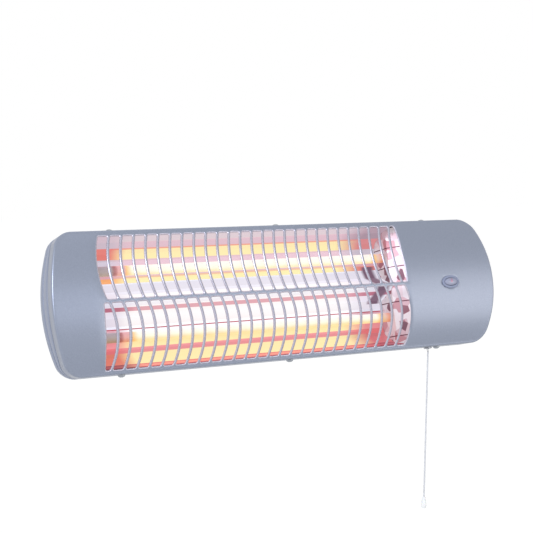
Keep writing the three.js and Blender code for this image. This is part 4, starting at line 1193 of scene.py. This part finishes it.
class BARHEATER_OT_switch(bpy.types.Operator):
    """Pull switch behind the right end, and the plated guide where its cord comes out"""
    bl_idname = "bar_heater.switch"
    bl_label = "Pull Switch"

    def execute(self, context):
        black, white = finish(black_nylon), finish(white_acetal)
        steel = finish(nickel_plated_steel)
        softened("switch_housing", black, 0.5)
        softened("switch_lid", black, 0.4)
        softened("switch_rotor", white, 0.2)

        low, high = upright_span("switch_plunger")
        drawn = 28.2  # the plunger's length as drawn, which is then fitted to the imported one's
        stem = [(0, 0), (1.2, 0), (1.5, 0.3), (1.5, 25.2), (6.1, 25.2), (6.4, 25.5), (6.4, 27.9),
                (6.1, drawn), (0, drawn)]
        stem = [(r, low + h * (high - low) / drawn) for r, h in stem]
        mesh = formed(turned(stem, "Z", (GUIDE_X, SCREW_Y, 0), 32))
        stand_in("plunger", mesh, white, "switch_plunger")

        spring = stand_in("return_spring", bare_copy("switch_spring"), steel,
                          "switch_spring")
        low, high = upright_span("switch_spring")
        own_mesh(spring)

        low, high = upright_span("cord_guide")
        under = -HALF_HEIGHT - FIT
        guide = [(1.9, high), (3.4, high), (3.4, under), (4.2, under), (4.4, under - 0.2),
                 (4.4, low + 0.6), (4.2, low + 0.2), (3.7, low), (2.6, low), (2.1, low + 0.2),
                 (1.9, low + 0.7), (1.9, high)]
        mesh = formed(turned(guide, "Z", (GUIDE_X, SCREW_Y, 0)))
        stand_in("plated_cord_guide", mesh, steel, "cord_guide")
        return {"FINISHED"}


# ---------- the pull cord ----------
class BARHEATER_OT_pull_cord(bpy.types.Operator):
    """Braided cord that hangs plumb from the switch, with its toggle"""
    bl_idname = "bar_heater.pull_cord"
    bl_label = "Pull Cord"

    def execute(self, context):
        low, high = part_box("pull_cord")
        x, y, top = (low.x + high.x) / 2, (low.y + high.y) / 2, high.z
        length, points = sizes().cord_length, 17
        toggle_low, toggle_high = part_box("cord_toggle")
        foot, end = 1000 * toggle_low.z, 1000 * toggle_high.z
        pear = [(0, end), (1.0, end), (1.5, end - 0.3), (1.7, end - 1), (2.1, end - 2.4),
                (2.6, end - 5), (2.95, end - 8.5), (3, foot + 3), (2.85, foot + 1.4),
                (2.3, foot + 0.4), (1.5, foot), (0, foot)]
        mesh = formed(turned(pear, "Z", (1000 * x, 1000 * y, 0)), TO_METRES)
        toggle = stand_in("pull_toggle", mesh, finish(white_acetal),
                          "cord_toggle", angle=50)

        curve = bpy.data.curves.new("braided_cord", "CURVE")
        curve.dimensions, curve.bevel_resolution = "3D", 6
        curve.bevel_depth = sizes().cord_diameter / 2
        curve.use_fill_caps = True
        line = curve.splines.new("POLY")
        line.points.add(points - 1)
        for i, point in enumerate(line.points):
            point.co = (x, y, top - length * i / (points - 1), 1)
        cord = link("braided_cord", curve, finish(braided_polyester, colours().cord))
        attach(cord, "cord")
        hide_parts("pull_cord")
        return {"FINISHED"}


# ---------- bracket ----------
def lobed_knob(side):
    """A six-lobed grip with rounded rims on a round hub, bored for its bolt. It doesn't lean with
    the heater, and its bore is cut about the pivot, where leaning makes no difference."""
    start = EAR_X + PLATE_WALL + FIT

    def ring(along, shrink, on_hub=False):
        row = []
        for a in around(96):
            lobed = KNOB_RADIUS - LOBE_DEPTH * (1 + math.cos(KNOB_LOBES * a)) / 2
            r = (HUB_RADIUS if on_hub else lobed) - shrink
            row.append((side * (start + along), r * math.cos(a) - PIVOT_DEPTH, r * math.sin(a)))
        return row
    hub = [ring(0, 0.3, True), ring(0.3, 0, True), ring(HUB_LENGTH, 0, True)]
    grip = [ring(HUB_LENGTH, 1.2), ring(HUB_LENGTH + 0.35, 0.35), ring(HUB_LENGTH + 1.2, 0),
            ring(KNOB_WIDTH - 1.8, 0), ring(KNOB_WIDTH - 0.8, 0.35), ring(KNOB_WIDTH - 0.2, 1.1),
            ring(KNOB_WIDTH, 2.2), ring(KNOB_WIDTH - 0.1, 4.5), ring(KNOB_WIDTH - 0.5, 5.5)]
    bore = [(BOLT_RADIUS + FIT, side * (start - 1)),
            (BOLT_RADIUS + FIT, side * (start + KNOB_WIDTH - 2.4))]
    return without(formed(loft(hub + grip, caps=True), TO_METRES), turned(bore, "X", PIVOT, 32))


def pivot_bolt(side):
    """A bolt with a shallow domed head inside the ear, and its shank out through the knob."""
    head = EAR_X - FIT - PLATE_WALL - FIT
    tip = EAR_X + PLATE_WALL + FIT + KNOB_WIDTH - 3
    bolt = [(0, head - 3), (2.4, head - 2.9), (3.4, head - 2.4), (3.9, head - 1.4),
            (4, head - 0.2), (3.8, head), (BOLT_RADIUS, head), (BOLT_RADIUS, tip - 0.5), (2, tip),
            (0, tip)]
    return formed(turned([(r, side * h) for r, h in bolt], "X", PIVOT))


class BARHEATER_OT_bracket(bpy.types.Operator):
    """Wall plate with two ears, the hinge lugs on the shell, and their bolts and clamp knobs"""
    bl_idname = "bar_heater.bracket"
    bl_label = "Wall Bracket"

    def execute(self, context):
        zinc = finish(zinc_plated_steel)
        softened("wall_bracket", zinc, 0.35)
        for name, side in SIDES:
            softened(f"hinge_lug_{name}", zinc, 0.35)
            for row, up in (("top", 1), ("bottom", -1)):
                mesh = dome_screw(radius=3, height=1.8, seat=2.6, shank=LUG_SCREW, tip=-6, axis="Y",
                                  at=(side * LUG_X, BACK_PLATE, up * LUG_SPREAD), up=1)
                stand_in(f"lug_screw_{name}_{row}_form", mesh, zinc,
                         f"lug_screw_{name}_{row}")
            stand_in(f"pivot_bolt_{name}_form", pivot_bolt(side), zinc,
                     f"pivot_bolt_{name}")
            stand_in(f"lobed_knob_{name}", lobed_knob(side), finish(black_nylon),
                     f"clamp_knob_{name}", angle=50)
        return {"FINISHED"}


# ---------- wiring ----------
def route_tube(points, radius, sides=12, per_span=8):
    """A round sleeve along a smooth route through the points."""
    knots = [Vector(p) for p in points]
    knots = [2 * knots[0] - knots[1], *knots, 2 * knots[-1] - knots[-2]]
    path = []
    for i in range(1, len(knots) - 2):
        a, b, c, d = knots[i - 1:i + 3]
        for k in range(per_span):
            t = k / per_span
            path.append(0.5 * (2 * b + (c - a) * t + (2 * a - 5 * b + 4 * c - d) * t * t
                               + (3 * b - a - 3 * c + d) * t ** 3))
    path.append(knots[-2])
    rings, up = [], Vector((0, 1, 0))
    for i, at in enumerate(path):
        along = (path[min(i + 1, len(path) - 1)] - path[max(i - 1, 0)]).normalized()
        up = (up - along * up.dot(along)).normalized()
        across = along.cross(up)
        rings.append([tuple(at + radius * (math.cos(a) * up + math.sin(a) * across))
                      for a in around(sides)])
    return loft(rings, caps=True)


def wire_routes():
    """The points that each wire passes through, from a cap's end to its next cap or the switch."""
    left, right, spread = END_LEFT - FIT - CAP_REACH, END_RIGHT + FIT + CAP_REACH, TUBE_SPREAD
    lid_top = upright_span("switch_lid")[1]
    return {
        "left_link_wire": [
            (left - 0.3, TUBE_Y, spread), (left - 3, TUBE_Y, spread),
            (left - 7, TUBE_Y, spread - 5), (left - 8, TUBE_Y, 0), (left - 7, TUBE_Y, 5 - spread),
            (left - 3, TUBE_Y, -spread), (left - 0.3, TUBE_Y, -spread)],
        "upper_lead_wire": [
            (right + 0.3, TUBE_Y, spread), (right + 4, TUBE_Y, spread),
            (right + 10, TUBE_Y - 2, 20), (GUIDE_X - 3, SCREW_Y + 6, -8),
            (GUIDE_X - 4, SCREW_Y + 1, lid_top + 8), (GUIDE_X - 4, SCREW_Y, lid_top + 0.3)],
        "lower_lead_wire": [
            (right + 0.3, TUBE_Y, -spread), (right + 3, TUBE_Y, -spread),
            (right + 7, TUBE_Y - 1, 10 - spread), (GUIDE_X + 1, TUBE_Y - 6, lid_top + 9),
            (GUIDE_X + 4, SCREW_Y + 4, lid_top + 7), (GUIDE_X + 4, SCREW_Y + 3, lid_top + 0.3)],
    }


class BARHEATER_OT_wiring(bpy.types.Operator):
    """Sleeved wires between the tubes and the switch, the terminal block, and the mains gland"""
    bl_idname = "bar_heater.wiring"
    bl_label = "Wiring"

    def execute(self, context):
        black = finish(black_nylon)
        for name, route in wire_routes().items():
            stand_in(name + "_sleeve", formed(route_tube(route, 1.3)), finish(woven_glass_sleeve),
                     name)
        out, inside = BACK_PLATE + FIT, BACK_PLATE - SHELL_WALL - 5
        gland = [(GLAND_BORE, out + 8.6), (4.2, out + 9), (5.2, out + 9), (5.6, out + 8.7),
                 (GLAND_RADIUS, out + 3), (9.2, out + 2.4), (9.5, out + 2.1), (9.5, out),
                 (GLAND_RADIUS, out), (GLAND_RADIUS, inside + 0.5), (GLAND_RADIUS - 0.5, inside),
                 (GLAND_BORE, inside), (GLAND_BORE, out + 8.6)]
        mesh = formed(turned(gland, "Y", (GLAND_X, 0, GLAND_Z)))
        stand_in("gland_body", mesh, black, "cable_gland")
        softened("gland_nut", black, 0.3)
        softened("terminal_block", finish(white_acetal), 0.4)
        for i in (1, 2, 3):
            softened(f"terminal_screw_{i}", finish(nickel_plated_steel), 0.1)
        return {"FINISHED"}


# ---------- camera and stage ----------
CAMERA_PLACE = (-0.5181, -1.1035, 0.1866)
CAMERA_FORWARD, CAMERA_RIGHT = Vector((0.4393, 0.8912, -0.1128)), Vector((0.8975, -0.4410, 0.0115))
CAMERA_LENS, SENSOR_WIDTH, CAMERA_SHIFT = 75.5, 36, (-0.0164, -0.0232)

# name, place, width and height in metres, power in watts, colour
LAMPS = (("softbox_left", (-1.45, -1.05, 1.0), 0.9, 0.9, 29, "#EEF3FF"),
         ("softbox_middle", (0.45, -1.9, 0.62), 0.6, 0.7, 2.1, "#F0F4FF"),
         ("softbox_right", (1.35, -1.75, -0.1), 0.9, 1.7, 10.2, "#FFFAF5"),
         ("softbox_above", (0.3, 0.3, 1.9), 1.4, 0.8, 2, "#F7F9FF"))


class BARHEATER_OT_camera(bpy.types.Operator):
    """Camera to the left of the heater, a little above it"""
    bl_idname = "bar_heater.camera"
    bl_label = "Camera"

    def execute(self, context):
        data = bpy.data.cameras.new("camera")
        data.lens, data.sensor_width = CAMERA_LENS, SENSOR_WIDTH
        data.shift_x, data.shift_y = CAMERA_SHIFT
        data.clip_start, data.clip_end = 0.05, 50
        forward = CAMERA_FORWARD.normalized()
        right = (CAMERA_RIGHT - forward * CAMERA_RIGHT.dot(forward)).normalized()
        turn = Matrix((right, right.cross(forward), -forward)).transposed()
        camera = link("camera", data)
        camera.matrix_world = Matrix.Translation(CAMERA_PLACE) @ turn.to_4x4()
        context.scene.camera = camera
        return {"FINISHED"}


def seen_directly(tree):
    """1 for rays from the camera and for what metal and glass show; 0 for light that falls on
    things."""
    path = add(tree, "ShaderNodeLightPath").outputs
    rays = path["Is Camera Ray"]
    for more in (path["Is Glossy Ray"], path["Is Transmission Ray"]):
        rays = add(tree, "ShaderNodeMath", {0: rays, 1: more}, operation="MAXIMUM").outputs["Value"]
    return rays


def matt_white_board():
    """Matt white board under the heater. Seen directly it is lit evenly to near white, and keeps a
    trace of the shadow that falls on it."""
    material = bpy.data.materials.new("matt_white_board")
    tree = emptied(material)
    board = add(tree, "ShaderNodeBsdfDiffuse", {"Color": "#F2F2F2"})
    thin = add(tree, "ShaderNodeBsdfDiffuse", {"Color": (0.16, 0.16, 0.16, 1)})
    glow = add(tree, "ShaderNodeEmission", {"Color": "#FFFFFF", "Strength": 0.93})
    white = add(tree, "ShaderNodeAddShader", {0: thin.outputs["BSDF"], 1: glow.outputs["Emission"]})
    both = add(tree, "ShaderNodeMixShader", {0: seen_directly(tree), 1: board.outputs["BSDF"],
                                             2: white.outputs["Shader"]})
    add(tree, "ShaderNodeOutputMaterial", {"Surface": both.outputs["Shader"]})
    return material


class BARHEATER_OT_stage(bpy.types.Operator):
    """Pale floor below the hanging heater, an even white surround and soft lamps"""
    bl_idname = "bar_heater.stage"
    bl_label = "Stage"

    def execute(self, context):
        half, drop = 6000, 420
        corners = [(-half, -half, -drop), (half, -half, -drop), (half, half, -drop),
                   (-half, half, -drop)]
        floor = link("pale_floor", formed((corners, [[0, 1, 2, 3]]), TO_METRES), matt_white_board())

        world = bpy.data.worlds.new("studio")
        context.scene.world = world
        tree = emptied(world)
        level = add(tree, "ShaderNodeMapRange", {"Value": seen_directly(tree), "To Min": 0.5,
                                                 "To Max": 1.0})
        room = add(tree, "ShaderNodeBackground", {"Color": "#FFFFFF",
                                                  "Strength": level.outputs["Result"]})
        add(tree, "ShaderNodeOutputWorld", {"Surface": room.outputs["Background"]})

        aim = Vector((0, -0.05, 0))
        for name, place, wide, tall, power, code in LAMPS:
            data = bpy.data.lights.new(name, "AREA")
            data.shape, data.size, data.size_y, data.energy = "RECTANGLE", wide, tall, power
            data.color = colour(code)
            lamp = link(name, data)
            lamp.location = place
            lamp.rotation_euler = (aim - Vector(place)).to_track_quat("-Z", "Y").to_euler()
        context.scene.view_settings.view_transform = "Standard"
        return {"FINISHED"}


# ---------- sidebar, registration and the build ----------
class BARHEATER_PT_sidebar(bpy.types.Panel):
    """Builds the heater piece by piece"""
    bl_idname = "BARHEATER_PT_sidebar"
    bl_label = "Electric Bar Heater"
    bl_space_type = "VIEW_3D"
    bl_region_type = "UI"
    bl_category = "Bar Heater"

    def draw(self, context):
        for operator in OPERATORS:
            self.layout.operator(operator.bl_idname)
        for group in (context.scene.bar_heater_sizes, context.scene.bar_heater_colours):
            box = self.layout.box()
            for name in group.__annotations__:
                box.prop(group, name)


OPERATORS = (BARHEATER_OT_camera, BARHEATER_OT_pull_cord, BARHEATER_OT_cover, BARHEATER_OT_shell,
             BARHEATER_OT_reflector, BARHEATER_OT_tubes, BARHEATER_OT_lamp,
             BARHEATER_OT_cover_screws, BARHEATER_OT_switch, BARHEATER_OT_bracket,
             BARHEATER_OT_wiring, BARHEATER_OT_stage)
CLASSES = (BarHeaterSizes, BarHeaterColours, *OPERATORS, BARHEATER_PT_sidebar)


def register():
    for cls in CLASSES:
        bpy.utils.register_class(cls)
    bpy.types.Scene.bar_heater_sizes = PointerProperty(type=BarHeaterSizes)
    bpy.types.Scene.bar_heater_colours = PointerProperty(type=BarHeaterColours)


def unregister():
    del bpy.types.Scene.bar_heater_sizes
    del bpy.types.Scene.bar_heater_colours
    for cls in reversed(CLASSES):
        bpy.utils.unregister_class(cls)


def main():
    register()
    for operator in OPERATORS:
        group, name = operator.bl_idname.split(".")
        getattr(getattr(bpy.ops, group), name)()
    bpy.context.view_layer.update()


if __name__ == "__main__":
    main()
